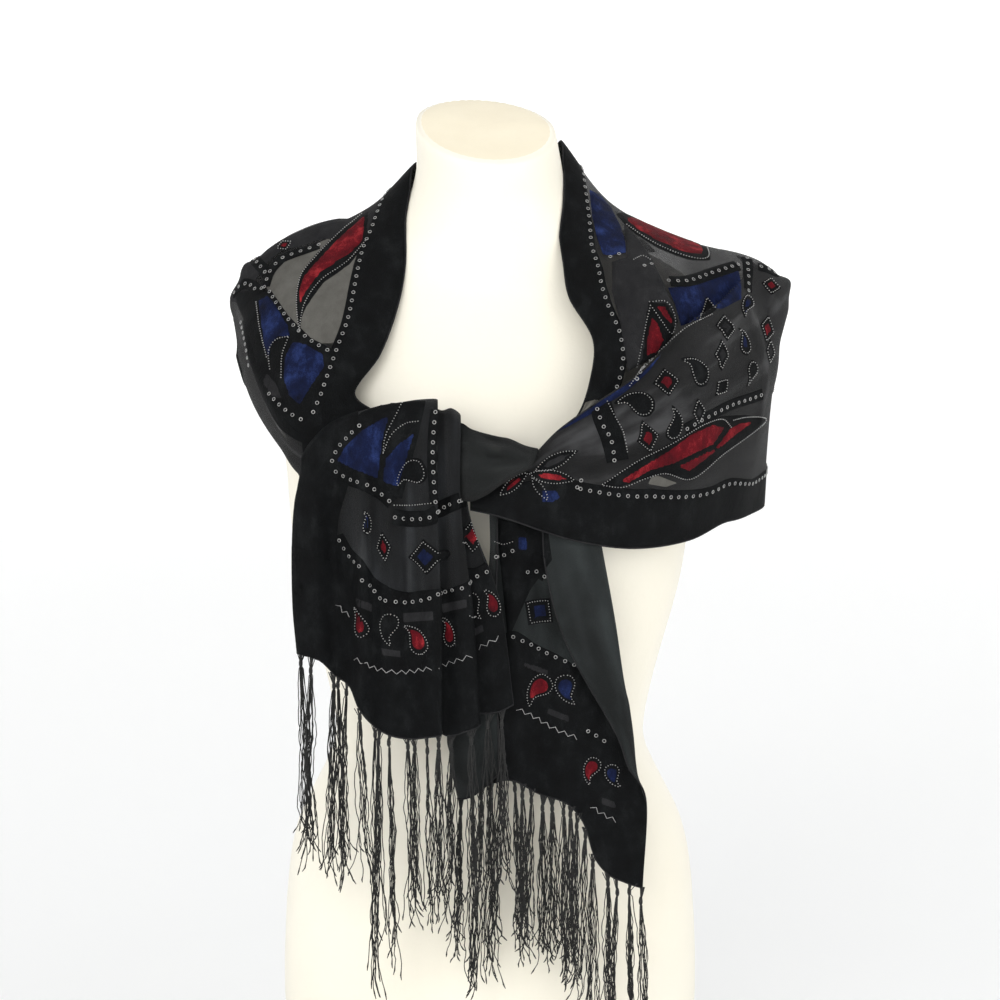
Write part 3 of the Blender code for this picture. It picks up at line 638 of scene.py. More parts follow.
# The cloth over the knot.
# The wrong side of the georgette, pulled tight across the knot, with creases that run together
# to the point where it goes under the fold.
KNOT = (
    ((37, -145.8, 576), (36, -149.2, 581), (35, -153.3, 578), (34, -154.8, 574), (32, -154.3, 570),
     (32, -151.2, 567)),
    ((27, -148, 580), (26, -153, 584), (24, -160, 579), (23, -162, 573), (21, -161, 566), (21, -156, 562)),
    ((14, -147, 584), (14, -152, 589), (12, -161, 582), (10, -164, 573), (8, -163, 560), (9, -157, 555)),
    ((1, -148, 586), (1, -152, 590), (0, -160, 582), (-2, -163, 569), (-4, -162, 552), (-2, -156, 547)),
    ((-13, -147, 591), (-13, -151, 596), (-13, -157, 585), (-14, -159, 570), (-14, -158, 548),
     (-13, -154, 542)),
    ((-20, -147.5, 596), (-20, -149, 600), (-21, -152, 587), (-21, -153, 569), (-21, -153, 548),
     (-20, -151, 542)),
    ((-28, -146, 597), (-28, -147, 600), (-29, -148, 588), (-30, -149, 569), (-30, -149, 548),
     (-29, -147, 542)),
)
KNOT_ACROSS = (6, 9, 9, 9, 6)
KNOT_ALONG = (7,) * 6
knot = Cloth(loft(KNOT, KNOT_ACROSS, KNOT_ALONG), "shawl_knot")

# The front tail.
# The free end of the cloth comes up out of the knot, rolls over its own top edge and hangs in
# uneven pleats. Columns run from photo left to photo right.
CREST = (
    (-140, -129, -126.5, 567), (-136, -130.5, -126.5, 573), (-128, -136, -131, 583),
    (-118, -138, -134, 593), (-107, -142, -137, 598), (-97, -147, -140, 600),
    (-87, -146, -140, 604), (-75, -151, -142, 604), (-63, -149, -143, 609),
    (-51, -153, -145, 609), (-38, -158, -146, 605), (-42, -154, -146, 605),
    (-35, -150, -146, 605), (-28, -154.5, -145, 601), (-21, -156, -145, 594),
    (-24, -151.5, -145, 594), (-23, -148.5, -145, 590), (-19, -145.5, -141, 585),
    (-16, -144, -140, 580),
)
FRONT_RING = (
    (-143, -122, 534), (-145, -131, 534), (-130, -139, 535), (-116, -134, 534), (-104, -141, 536),
    (-94, -150, 537), (-86, -147, 537), (-73, -153, 538), (-62, -149, 537), (-50, -156, 538),
    (-38, -160, 539), (-42, -153, 538), (-34, -150, 537), (-27, -155, 538), (-21, -157, 538),
    (-24, -152, 537), (-22, -148, 537), (-19, -147, 537), (-16, -148, 537),
)
FRONT_MID = (
    (-144, -122, 461), (-147, -131, 463), (-130, -139, 463), (-116, -134, 461), (-104, -141, 462),
    (-95, -151, 463), (-86, -147, 462), (-74, -154, 463), (-61, -149, 462), (-47, -157, 464),
    (-36, -161, 465), (-39, -153, 463), (-32, -150, 463), (-23, -155, 465), (-13, -153, 465),
    (-17, -148, 465), (-12, -146, 465), (-3, -149, 466), (7, -147, 467),
)
FRONT_HEM = (
    (-142, -122, 421), (-144, -131, 422), (-127, -141, 419), (-115, -136, 406), (-105, -142, 400),
    (-97, -152, 384), (-88, -149, 372), (-75, -155, 365), (-59, -151, 361), (-44, -158, 364),
    (-36, -161, 366), (-39, -153, 368), (-31, -150, 363), (-19, -155, 367), (-7, -153, 372),
    (-10, -148, 380), (-4, -145, 379), (7, -148, 381), (18, -146, 386),
)
CREST_TURN = ((90, -5), (90, 0), (45, 0), (0, 0), (-50, 0), (-90, 0))
FRONT_ACROSS = (3, 3, 5, 6, 6, 5, 6, 6, 6, 5, 7, 5, 4, 5, 4, 3, 3, 4)
FRONT_ALONG = (2, 3, 3, 3, 3, 18, 20, 28)


def rolled(turn, drop):
    """One row of the roll, turned from the top (0) to the back (90) or the front (-90)."""
    angle = math.radians(turn)
    across, upward = math.sin(angle), math.cos(angle)
    return [(x, centre + (centre - front) * across, height + (centre - front) * upward + drop)
            for x, front, centre, height in CREST]


front_rows = [rolled(*step) for step in CREST_TURN] + [FRONT_RING, FRONT_MID, FRONT_HEM]
front = Cloth(clear_of_form(loft(front_rows, FRONT_ACROSS, FRONT_ALONG), CLEAR), "shawl_front_tail")

# The under tail.
# The other end hangs below the knot with both side edges folded forward, so that the plain
# wrong side shows as a strip down the photograph's right.
UNDER = (
    ((6, -138, 536), (4, -138, 536), (1, -136, 535), (0, -133, 535), (1, -130, 534),
     (8, -130, 535), (19, -132, 539), (33, -130, 541), (47, -132, 542), (60, -130, 541),
     (69, -130, 541), (77, -133, 542), (73, -137.5, 542), (56, -139, 543), (40, -140, 543)),
    ((6, -139, 495), (4, -139, 495), (1, -137, 495), (0, -134, 494), (1, -130, 493),
     (9, -130, 493), (20, -133, 494), (33, -129, 493), (48, -133, 494), (66, -129, 493),
     (82, -130, 493), (86, -134, 494), (83, -137.5, 495), (63, -139.6, 495), (41, -139.5, 495)),
    ((4, -140, 435), (-2, -139, 435), (-8, -137, 434), (-10, -134, 434), (-8, -130, 433),
     (3, -130, 433), (18, -134, 434), (36, -129, 433), (54, -134, 434), (75, -129, 433),
     (93, -130, 433), (97, -134, 434), (94, -137, 434), (75, -139, 435), (56, -139, 435)),
    ((7, -140, 359), (-11, -140, 359), (-29, -138, 359), (-32, -135, 358), (-29, -131, 357),
     (-12, -129, 357), (10, -134, 358), (34, -129, 357), (57, -134, 358), (83, -128, 356),
     (104, -130, 355), (109, -133, 356), (107, -136, 357), (103, -138, 357), (97, -139, 358)),
    ((7, -140, 351), (-12, -140, 344), (-27, -138, 346), (-30, -135, 346), (-27, -131, 344),
     (-11, -129, 343), (11, -134, 348), (34, -129, 343), (57, -134, 340), (81, -128, 336),
     (102, -130, 334), (110, -132.5, 335), (111, -134.5, 335), (109, -136.3, 335), (105, -138, 335)),
    ((7, -140, 347), (-12.5, -140, 336), (-26.5, -138, 339), (-29.5, -135, 339.5), (-26.5, -131, 337),
     (-10.5, -129, 336), (11.5, -134, 342), (34, -129, 335), (57, -134, 330), (79.5, -128, 325),
     (101, -130, 324), (110, -131.6, 324), (112.3, -133.2, 324), (113.6, -135.4, 324), (113, -138, 324)),
    ((7, -140, 343), (-13, -140, 328), (-26, -138, 332), (-29, -135, 333), (-26, -131, 330),
     (-10, -129, 328), (12, -134, 337), (34, -129, 328), (57, -134, 320), (78, -128, 313),
     (100, -130, 313), (109, -131, 312), (112, -132, 312), (115, -133, 311), (118, -134, 311)),
    ((7, -140, 331), (-11, -140, 315), (-21, -138, 311), (-24, -135, 311), (-21, -131, 309),
     (-7, -129, 317), (15, -134, 325), (38, -129, 313), (58, -134, 307), (71, -129, 291),
     (81, -128, 261), (92, -130, 249), (101, -130, 245), (108, -129, 242), (116, -127, 239)),
)
UNDER_ACROSS = (5, 5, 3, 3, 5, 6, 7, 7, 8, 6, 4, 4, 6, 6)
UNDER_ALONG = (10, 16, 18, 4, 4, 4, 14)
under = Cloth(clear_of_form(loft(UNDER, UNDER_ACROSS, UNDER_ALONG), CLEAR), "shawl_under_tail")

# Creases, pressed into all four.
# They fan out from the knot, run down the hanging tails and sag across the back. Each has its
# height, its width, and its course in the photograph's pixels or in the cloth's rows and columns.
WHOLE = slice(None)
TOP_LAYER = slice(68, 115)
ROUND_THE_ARM = slice(40, 115)
LEFT_OF_CREST = slice(0, 66)
for cloth, columns, creases in (
        (yoke, TOP_LAYER, (
            (2.4, 3.4, (566, 447), (600, 424), (660, 386), (720, 345), (768, 310)),
            (2.8, 4.2, (560, 462), (600, 452), (660, 428), (720, 396), (764, 362)),
            (-1.1, 3.0, (575, 452), (640, 424), (700, 382), (752, 340)),
            (2.6, 4.6, (556, 478), (620, 474), (690, 456), (760, 424)),
            (-0.9, 4.0, (580, 468), (650, 452), (730, 418)),
            (2.0, 5.0, (566, 497), (640, 506), (720, 490)),
            (2.4, 4.4, (741, 292), (757, 330), (766, 380), (768, 440)),
            (1.8, 2.6, (640, 412), (680, 388), (715, 362), (742, 330)),
            (2.2, 3.2, (694, 352), (730, 326), (762, 300)),
            (1.6, 3.0, (598, 470), (650, 460), (700, 446)),
            (1.8, 3.2, (690, 398), (730, 384), (766, 372)))),
        (yoke, ROUND_THE_ARM, (
            (2.0, 5.0, (246, 318), (250, 352), (268, 396), (300, 430)),
            (-0.9, 3.6, (262, 330), (266, 362), (286, 402), (312, 436)))),
        (yoke, LEFT_OF_CREST, (
            (1.1, 5.0, (352, 262), (338, 300), (322, 348), (312, 392)),
            (1.3, 4.5, (640, 262), (650, 300), (652, 340)))),
        (knot, WHOLE, (
            (2.0, 2.6, (455, 412), (490, 428), (531, 453)),
            (-0.9, 2.2, (456, 424), (494, 440), (531, 457)),
            (2.1, 2.8, (456, 440), (494, 449), (531, 459)),
            (-1.0, 2.0, (456, 448), (494, 456), (531, 461)),
            (1.2, 1.8, (457, 459), (494, 461), (531, 461)),
            (1.8, 3.0, (458, 470), (492, 468), (530, 463)))),
        (front, WHOLE, (
            (2.4, 4.6, (409, 430), (411, 560), (415, 715)),
            (2.4, 4.6, (362, 470), (363, 560), (368, 690)),
            (-1.3, 3.6, (386, 500), (387, 600), (390, 715)),
            (-1.2, 4.0, (338, 440), (336, 520), (334, 630)),
            (1.4, 5.0, (315, 430), (312, 520), (311, 640)),
            (1.4, 3.0, (424, 420), (426, 540), (428, 700)),
            (1.2, 2.6, (398, 520), (400, 600), (402, 700)),
            (1.5, 3.6, (450, 420), (455, 540), (462, 660)))),
        (under, WHOLE, (
            (2.6, 5.0, (566, 530), (600, 600), (628, 700)),
            (-1.0, 3.6, (548, 556), (578, 640), (606, 740)),
            (1.5, 6.0, (520, 560), (528, 660), (530, 780)),
            (1.8, 6.0, (590, 690), (612, 760), (630, 850))))):
    for height, width, *pixels in creases:
        cloth.crease([cloth.seen(*pixel)[0] for pixel in pixels], height, width, columns)
for height, width, *spots in (
        (8.0, 14, (54, 20), (54, 32), (53, 44), (51, 56)),
        (7.0, 8, (50, 64), (54, 66), (60, 66)),
        (-4.0, 13, (44, 96), (50, 96), (56, 94)),
        (8.0, 7, (100, 76), (108, 78), (117, 80)),
        (-4.5, 13, (103, 92), (109, 92), (116, 92)),
        (2.4, 11, (58, 30), (66, 48), (74, 56), (81, 58)),
        (2.4, 11, (104, 30), (96, 48), (88, 56), (81, 58)),
        (-2.0, 7, (64, 60), (74, 76), (82, 80), (92, 74), (100, 58)),
        (2.4, 8, (70, 96), (80, 102), (92, 98)),
        (2.8, 9, (57, 40), (69, 60), (81, 66), (93, 60), (105, 40)),
        (3.0, 10, (60, 66), (71, 84), (81, 90), (91, 84), (102, 68)),
        (-1.5, 8, (63, 52), (72, 70), (81, 76), (90, 70), (99, 54)),
        (1.8, 8, (62, 18), (72, 30), (81, 34), (90, 30), (100, 18)),
        (2.4, 8, (56, 66), (59, 86), (61, 110)),
        (2.0, 8, (66, 74), (68, 92), (69, 112)),
        (2.2, 8, (96, 74), (94, 92), (93, 112)),
        (2.4, 9, (106, 66), (105, 90), (104, 112)),
        (1.6, 8, (109, 40), (111, 66), (112, 100))):
    yoke.crease([yoke.spot(*spot)[0] for spot in spots], height, width)
for cloth in (yoke, knot, front, under):
    cloth.settle()
DENSER_ROUND_THE_ARM = (0.3, (1, 0.104, 0.122), (0, 0.34, 0.28))
DENSER_ON_THE_FOLD = (0.26, (1, 0.104, 0.122), (0, 0.70, 0.79))
DENSER_TO_THE_RIGHT = (0.12, (0, 0.35, 0.85))
DENSER_AT_THE_KNOT = (0.32, (0, 0.137, 0.10))
# The number after each tone is how much paler its painted highlights get.
yoke_piece = yoke.piece(georgette(
    "georgette_yoke", 0.64, (0.010, 0.010, 0.0104), 6,
    (DENSER_ROUND_THE_ARM, DENSER_ON_THE_FOLD, DENSER_TO_THE_RIGHT, DENSER_AT_THE_KNOT)))
knot_piece = knot.piece(georgette("georgette_knot", 1.06, (0.0095, 0.0108, 0.0107), 2.6))
front_piece = front.piece(georgette("georgette_front", 1.06, (0.0074, 0.0081, 0.009), 3.4))
under_piece = under.piece(georgette("georgette_under", 1.06, (0.0155, 0.0185, 0.0187), 2.2))
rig.replaces(yoke_piece, "shawl_right_front", "shawl_right_shoulder", "shawl_back",
            "shawl_left_shoulder", "shawl_left_front")
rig.replaces(knot_piece, "knot_band")
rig.replaces(front_piece, "front_tail")
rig.replaces(under_piece, "under_tail")
for made in (yoke_piece, knot_piece, front_piece, under_piece):
    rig.slot(made, "shawl_cloth")

# Knotted fringe.
# Crinkled rayon threads are knotted into the hem in small bunches, a few centimetres apart on
# the front tail and close together on the under tail.
fringe_finish = Finish("fringe_thread", Roughness=0.8, Sheen_Weight=0.05)
fringe_finish.mottle(fringe_finish.noise(300, 2), (0.3, (0.004, 0.004, 0.004)), (0.7, (0.013, 0.013, 0.012)))
fringe_finish.bump(fringe_finish.noise(2500, 2, (1, 1, 0.3)), 0.0003)
THREAD_RADIUS = 0.4
THREAD_STEPS = 36
BUNCH_SPREAD = 0.6
WHOLE_TURN = 6.28
TIP_RADII = (THREAD_RADIUS * 1.7, THREAD_RADIUS * 0.8)
PARTS_FROM = 0.62
CURLS_FROM = 0.86
KNOT_HEIGHTS = (4, 2.8, 1.2, -0.6, -1.8, -2.6)
KNOT_RADII = (0.8, 1.3, 1.6, 1.6, 1.2, 0.8)
random.seed(11)


def add(heap, verts, faces):
    """Add points, and faces that count from the first of them, to a heap of both."""
    start = len(heap[0])
    heap[0].extend(tuple(v) for v in verts)
    heap[1].extend(tuple(start + k for k in face) for face in faces)


def tube(points, radii, sides):
    """Points and faces of a closed tube along a line."""
    points = np.asarray(points, float)
    way = np.gradient(points, axis=0)
    way /= np.linalg.norm(way, axis=1, keepdims=True) + 1e-9
    side = np.cross(way, (0.31, 0.83, 0.46))
    side /= np.linalg.norm(side, axis=1, keepdims=True) + 1e-9
    other = np.cross(way, side)
    angles = [2 * math.pi * m / sides for m in range(sides)]
    verts = [point + radius * (math.cos(angle) * side[k] + math.sin(angle) * other[k])
             for k, (point, radius) in enumerate(zip(points, radii)) for angle in angles]
    faces = [(k + m, k + (m + 1) % sides, k + sides + (m + 1) % sides, k + sides + m)
             for k in range(0, len(verts) - sides, sides) for m in range(sides)]
    ends = [tuple(reversed(range(sides))), tuple(range(len(verts) - sides, len(verts)))]
    return verts, faces + ends


def tassels(name, hem, bunches, threads, node):
    """Bunches of crinkled threads below a hem: bunches holds (x at the hem, length)."""
    heap = ([], [])
    for x, length in bunches:
        top = hem[int(np.argmin(np.abs(hem[:, 0] - x)))]
        neck = top + np.array((random.uniform(-1, 1), 0, -6 - random.uniform(0, 5)))
        lean = random.uniform(-5, 5)
        for _ in range(threads + random.randint(-3, 5)):
            spread = random.gauss(0, BUNCH_SPREAD)
            reach = length * random.uniform(0.8, 1.08)
            hook = random.uniform(-6, 6)
            root = top + np.array((spread * 2.6, 0, 0.8))
            phase = [random.uniform(0, WHOLE_TURN) for _ in range(4)]
            pitch = [random.uniform(0.7, 1.4) for _ in range(4)]
            points = [root, root * 0.45 + neck * 0.55, neck]
            for step in range(1, THREAD_STEPS + 1):
                share = step / THREAD_STEPS
                loose = min(1, share * 4)
                parted = max(0, share - PARTS_FROM) / (1 - PARTS_FROM)
                curl = max(0, share - CURLS_FROM) / (1 - CURLS_FROM)
                wave_x = math.sin(phase[0] + share * 30 * pitch[0]) * 0.5 + random.gauss(0, 0.25)
                wave_x += math.sin(phase[1] + share * 9 * pitch[1]) * (0.5 + 1.2 * share)
                wave_y = math.sin(phase[2] + share * 26 * pitch[2]) * 0.5 + random.gauss(0, 0.25)
                wave_y += math.sin(phase[3] + share * 8 * pitch[3]) * 1.3
                over = spread * (1.0 + 2.4 * min(1, share * 3) + 3.6 * parted ** 1.5) + lean * share
                over += hook * curl ** 1.5
                points.append(neck + np.array((over + wave_x * loose, spread * 1.2 + wave_y * loose,
                                               -reach * share + 3.5 * curl ** 2)))
            add(heap, *tube(points, [THREAD_RADIUS] * (len(points) - 2) + [*TIP_RADII], 3))
        add(heap, *tube([neck + np.array((0, 0, dz)) for dz in KNOT_HEIGHTS], KNOT_RADII, 8))
    made = new_object(name, *heap, fringe_finish)
    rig.replaces(made, node)
    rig.slot(made, "fringe_thread")


FRONT_BUNCHES = (
    (-141, 150), (-131, 152), (-118, 148), (-113, 154), (-107, 150), (-97, 132), (-87, 184), (-82, 190),
    (-76, 176), (-63, 134), (-56, 140), (-47, 132), (-38, 140), (-27, 134), (-14, 128), (-2, 132), (9, 126),
)
UNDER_BUNCHES = (
    (-20, 112), (-13, 148), (-7, 152), (0, 146), (9, 120), (17, 124), (25, 118), (33, 130), (41, 126),
    (48, 118), (55, 128), (61, 132), (67, 124), (73, 130), (79, 138), (88, 128), (97, 132), (107, 138),
    (116, 134),
)
tassels("front_tassels", front.grid[-1], FRONT_BUNCHES, 10, "front_fringe")
tassels("under_tassels", under.grid[-1][16:], UNDER_BUNCHES, 12, "under_fringe")

# Velvet, beads and rings: how they are laid on.
# The pattern is short velvet pile that stands on the georgette, in black with blue and red
# shapes. Each shape is edged with a row of small silver beads, and the bands carry eyelet rings.
PILE = 0.6
PILE_EDGE = 0.7
PILE_FOOT = 0.15
ON_VELVET = 1.3
EDGE_MARGIN = 0.7
LINE_STEP = 1.2
SPOT_ABOVE = 9
SPOT_REACH = 40
WAY_REACH = 0.8
ON_BAND = 0.95
STITCH_PITCH = 3.7
STITCH_HEIGHT = 1.5
STITCH_RADIUS = 0.28
BORDER_START = 0.5
HEM_RADIUS = 0.75
HEM_INSET = 0.2
RIBBON_STEP = 2.2
SHAPE_RISE = 0.45
SHAPE_RISE_ON_VELVET = 0.75


def velvet(name, sheen, dark, light, glint):
    """Crushed pile: mottled colour, pressed streaks painted in the glint colour as a painted highlight, and a fine
    nap.
    """
    cloth = Finish(name, Roughness=0.75, Specular_IOR_Level=0.08, Sheen_Weight=sheen, Sheen_Roughness=0.35,
                   Sheen_Tint=(*glint, 1))
    crushed = cloth.noise(75, 6, (1, 1, 0.6), 0.65)
    nap = cloth.noise(1400, 2)
    # The lightest stop is a painted glint, the colour that also tints the sheen.
    cloth.mottle(crushed * 0.8 + nap * 0.2, (0.34, dark), (0.52, light), (0.70, glint))
    cloth.feed("Roughness", 0.55 + 0.35 * crushed)
    cloth.bump(crushed * 1.5 + nap * 0.5, 0.0009)
    return cloth


def silver(name, metallic, roughness, grain, bright):
    """Worn silver, mottled from a dull grey to its brightest."""
    finish = Finish(name, Metallic=metallic, Roughness=roughness)
    finish.mottle(finish.noise(grain, 2), (0.3, (0.30, 0.30, 0.30)), (0.7, bright))
    return finish


BLACK = "black_velvet"
BLUE = "blue_velvet"
RED = "red_velvet"
GREY = "grey_cloth"
SHOW_THROUGH = "thin_cloth"
# Each velvet: sheen, then its dark and light colours and its painted glint.
VELVETS = {
    BLACK: (0.03, (0.0015, 0.0016, 0.0018), (0.0035, 0.004, 0.0044), (0.011, 0.012, 0.0125)),
    BLUE: (0.1, (0.002, 0.003, 0.010), (0.005, 0.009, 0.036), (0.022, 0.040, 0.14)),
    RED: (0.1, (0.030, 0.002, 0.004), (0.100, 0.004, 0.008), (0.38, 0.03, 0.035)),
    GREY: (0.02, (0.010, 0.010, 0.011), (0.017, 0.017, 0.018), (0.030, 0.030, 0.031)),
    # A pale opaque finish painted where light shows through the sheer.
    SHOW_THROUGH: (0.02, (0.082, 0.078, 0.070), (0.104, 0.101, 0.091), (0.125, 0.12, 0.11)),
}
FINISHES = {name: velvet(name, *looks) for name, looks in VELVETS.items()}
FINISHES["beads"] = silver("bead_silver", 0.85, 0.32, 500, (0.60, 0.60, 0.58))
FINISHES["rings"] = FINISHES["beads"]
FINISHES["stitches"] = silver("silver_thread", 0.5, 0.4, 900, (0.55, 0.55, 0.54))
FINISHES["hem"] = velvet("rolled_hem", 0.1, (0.012, 0.012, 0.013), (0.02, 0.02, 0.021), (0.03, 0.03, 0.03))
heaps = {}


def pile_up(cloth, finish, verts, faces):
    """Keep points and faces for the one object that a cloth has in a finish."""
    add(heaps.setdefault((cloth.name, finish), ([], [])), verts, faces)


def walked(points):
    """How far along a line each of its points is."""
    return running(np.linalg.norm(np.diff(points, axis=0), axis=1))


def at_steps(steps, walk, points):
    """Every column of the points, read off at some steps of the walk along them."""
    return np.stack([np.interp(steps, walk, column) for column in points.T], axis=1)


def even(points, step, closed=False):
    """The line through the points again, in steps of even length."""
    points = np.asarray(points, float)
    if closed:
        points = np.concatenate([points, points[:1]])
    walk = walked(points)
    steps = np.linspace(0, walk[-1], max(3, round(walk[-1] / step)) + 1)
    return at_steps(steps[:-1] if closed else steps, walk, points)


def flat(points):
    """Pixels, or columns and rows, with the second counted upwards so that shapes keep their turn."""
    return [(x, -y) for x, y in points]


def on_photo(cloth):
    """Placing by flat points of the photograph."""
    return lambda x, y: cloth.seen(x, -y)


def on_grid(cloth):
    """Placing by flat columns and rows of the cloth, for what turns away from the camera."""
    both = np.concatenate([cloth.grid, cloth.normals], axis=2)
    last_row, last_column = np.array(both.shape[:2]) - 1.001

    def at(x, y):
        column = min(max(x, 0), last_column)
        row = min(max(-y, 0), last_row)
        i, j = int(row), int(column)
        p, q = row - i, column - j
        found = ((1 - p) * ((1 - q) * both[i, j] + q * both[i, j + 1])
                 + p * ((1 - q) * both[i + 1, j] + q * both[i + 1, j + 1]))
        return found[:3], found[3:] / np.linalg.norm(found[3:])
    return at


def on_spot(cloth, place, out, turn):
    """Placing round a point of the cloth, in millimetres along it, turned by some degrees."""
    across = RIGHT - out * out[0]
    across /= np.linalg.norm(across)
    upward = np.cross(out, across)
    c = math.cos(math.radians(turn))
    s = math.sin(math.radians(turn))

    def at(x, y):
        target = place + across * (x * c - y * s) + upward * (x * s + y * c)
        start = Vector(target + out * SPOT_ABOVE)
        hit, _normal, face, _far = cloth.tree.ray_cast(start, Vector(-out), SPOT_REACH)
        if hit is None:
            hit, _normal, face, _far = cloth.tree.find_nearest(Vector(target))
        normal = cloth.way_out(face)
        return np.array(hit), (normal if normal @ out > 0 else -normal)
    return at


def lay(cloth, finish, outline, at, base=PILE_FOOT, pile=PILE, step=2.0):
    """Lay a flat outline on the cloth as a raised patch whose pile is rounded off at its edge."""
    edge = even(outline, step, closed=True)
    ahead = np.roll(edge, -1, axis=0)
    if np.sum(edge[:, 0] * ahead[:, 1] - ahead[:, 0] * edge[:, 1]) < 0:
        edge = edge[::-1]
        ahead = np.roll(edge, -1, axis=0)
    low = edge.min(axis=0)
    high = edge.max(axis=0)
    lean = (ahead[:, 0] - edge[:, 0]) / (ahead[:, 1] - edge[:, 1] + 1e-12)

    def from_edge(x, y):
        return np.min(np.hypot(edge[:, 0] - x, edge[:, 1] - y))

    def within(x, y):
        crossed = (edge[:, 1] > y) != (ahead[:, 1] > y)
        return np.sum(crossed & (x < lean * (y - edge[:, 1]) + edge[:, 0])) % 2
    inner = [(x, y) for x in np.arange(low[0] + step / 2, high[0], step)
             for y in np.arange(low[1] + step / 2, high[1], step)
             if from_edge(x, y) > EDGE_MARGIN * step and within(x, y)]
    count = len(edge)
    points, _edges, faces, *_rest = delaunay_2d_cdt(
        [Vector(p) for p in (*edge, *inner)], [(k, (k + 1) % count) for k in range(count)],
        [list(range(count))], 1, 1e-6)
    verts = []
    for x, y in points:
        inside = min(1, from_edge(x, y) / PILE_EDGE)
        place, out = at(x, y)
        verts.append(place + out * (base + pile * math.sqrt(1 - (1 - inside) ** 2)))
    pile_up(cloth, finish, verts, faces)


def patch(cloth, finish, *points, at=None, **how):
    """Lay a patch with its corners at pixels of the photograph, or at points of another placing."""
    lay(cloth, finish, flat(points), at or on_photo(cloth), **how)


def line_on(at, points, step=1.5, closed=False):
    """Places and ways out along a line of flat points, in even steps on the cloth."""
    found = np.array([np.concatenate(at(*p)) for p in even(points, step, closed)])
    walk = walked(found[:, :3])
    return at_steps(np.linspace(0, walk[-1], max(3, round(walk[-1] / LINE_STEP)) + 1), walk, found)


def curve_on(cloth, points, at=None, step=1.5):
    """Places and ways out along a curve through pixels, or through points of another placing."""
    points = flat(points)
    return line_on(at or on_photo(cloth), spline(points, (8,) * (len(points) - 1)), step)


def spaced(line, pitch):
    """Every place along a line at a pitch, with its way along and its way out."""
    walk = walked(line[:, :3])
    count = int(walk[-1] / pitch)
    if count < 1:
        return
    steps = (walk[-1] - count * pitch) / 2 + np.arange(count + 1) * pitch
    ahead = at_steps(steps + WAY_REACH, walk, line[:, :3])
    behind = at_steps(steps - WAY_REACH, walk, line[:, :3])
    for here, way in zip(at_steps(steps, walk, line), ahead - behind):
        out = here[3:] / (np.linalg.norm(here[3:]) + 1e-9)
        way -= out * (way @ out)
        yield here[:3], way / (np.linalg.norm(way) + 1e-9), out


BEAD_RADIUS = 0.5
BEAD_PITCH = 2.2
GOLDEN = (1 + math.sqrt(5)) / 2
pairs = [(a, b) for a in (-1, 1) for b in (-GOLDEN, GOLDEN)]
corners = np.array([(a, b, 0) for a, b in pairs] + [(0, a, b) for a, b in pairs]
                   + [(b, 0, a) for a, b in pairs])
BEAD_CORNERS = corners / np.linalg.norm(corners[0]) * BEAD_RADIUS
BEAD_FACES = [(a, b, c) for a in range(12) for b in range(12) for c in range(12)
              if a < min(b, c) and b != c
              and max(np.linalg.norm(BEAD_CORNERS[p] - BEAD_CORNERS[q])
                      for p, q in ((a, b), (b, c), (a, c))) < 1.1 * BEAD_RADIUS
              and np.cross(BEAD_CORNERS[b] - BEAD_CORNERS[a], BEAD_CORNERS[c] - BEAD_CORNERS[a])
              @ BEAD_CORNERS[a] > 0]


def beads(cloth, line, lift=ON_VELVET):
    """A row of beads sewn on along a line."""
    for place, _way, out in spaced(line, BEAD_PITCH):
        pile_up(cloth, "beads", BEAD_CORNERS + place + out * lift, BEAD_FACES)


def bead_curve(cloth, *points, lift=ON_VELVET, **where):
    """A row of beads along a curve through pixels, or through points of another placing."""
    beads(cloth, curve_on(cloth, points, **where), lift)


RING_RADIUS = 1.22
RING_WIRE = 0.3
RING_PITCH = 7.4
RING_SIDES = 12
RING_FACES = [(a * 4 + m, b * 4 + m, b * 4 + (m + 1) % 4, a * 4 + (m + 1) % 4)
              for a in range(RING_SIDES) for b in [(a + 1) % RING_SIDES] for m in range(4)]


def rings(cloth, line, lift=ON_VELVET, pitch=RING_PITCH):
    """A row of small metal rings sewn flat along a line."""
    for place, way, out in spaced(line, pitch):
        side = np.cross(out, way)
        verts = []
        for k in range(RING_SIDES):
            turn = 2 * math.pi * k / RING_SIDES
            spoke = way * math.cos(turn) + side * math.sin(turn)
            for m in range(4):
                bend = math.pi / 2 * m
                verts.append(place + out * (lift + RING_WIRE * math.sin(bend))
                             + spoke * (RING_RADIUS + RING_WIRE * math.cos(bend)))
        pile_up(cloth, "rings", verts, RING_FACES)


def ring_curve(cloth, *points, lift=ON_VELVET, pitch=RING_PITCH):
    """A row of rings along a curve through pixels of the photograph."""
    rings(cloth, curve_on(cloth, points), lift, pitch)


def ribbon(cloth, line, width, base=PILE_FOOT):
    """A raised band of black velvet of even width along a line."""
    shares = (-0.5, -0.5 + PILE_EDGE / width, -0.2, 0.2, 0.5 - PILE_EDGE / width, 0.5)
    rises = (0, 1, 1, 1, 1, 0)
    verts = []
    for place, way, out in spaced(line, RIBBON_STEP):
        side = np.cross(out, way)
        for share, rise in zip(shares, rises):
            spot, normal = cloth.near(place + side * share * width)
            if normal @ out < 0:
                normal = -normal
            verts.append(spot + normal * (base + PILE * rise))
    faces = grid_faces(len(verts) // len(shares), len(shares))
    pile_up(cloth, BLACK, verts, [(a, d, c, b) for a, b, c, d in faces])


def ring_band(cloth, *pixels, width=11):
    """A black velvet band with its row of rings, through pixels of the photograph."""
    line = curve_on(cloth, pixels)
    ribbon(cloth, line, width)
    rings(cloth, line, ON_BAND)


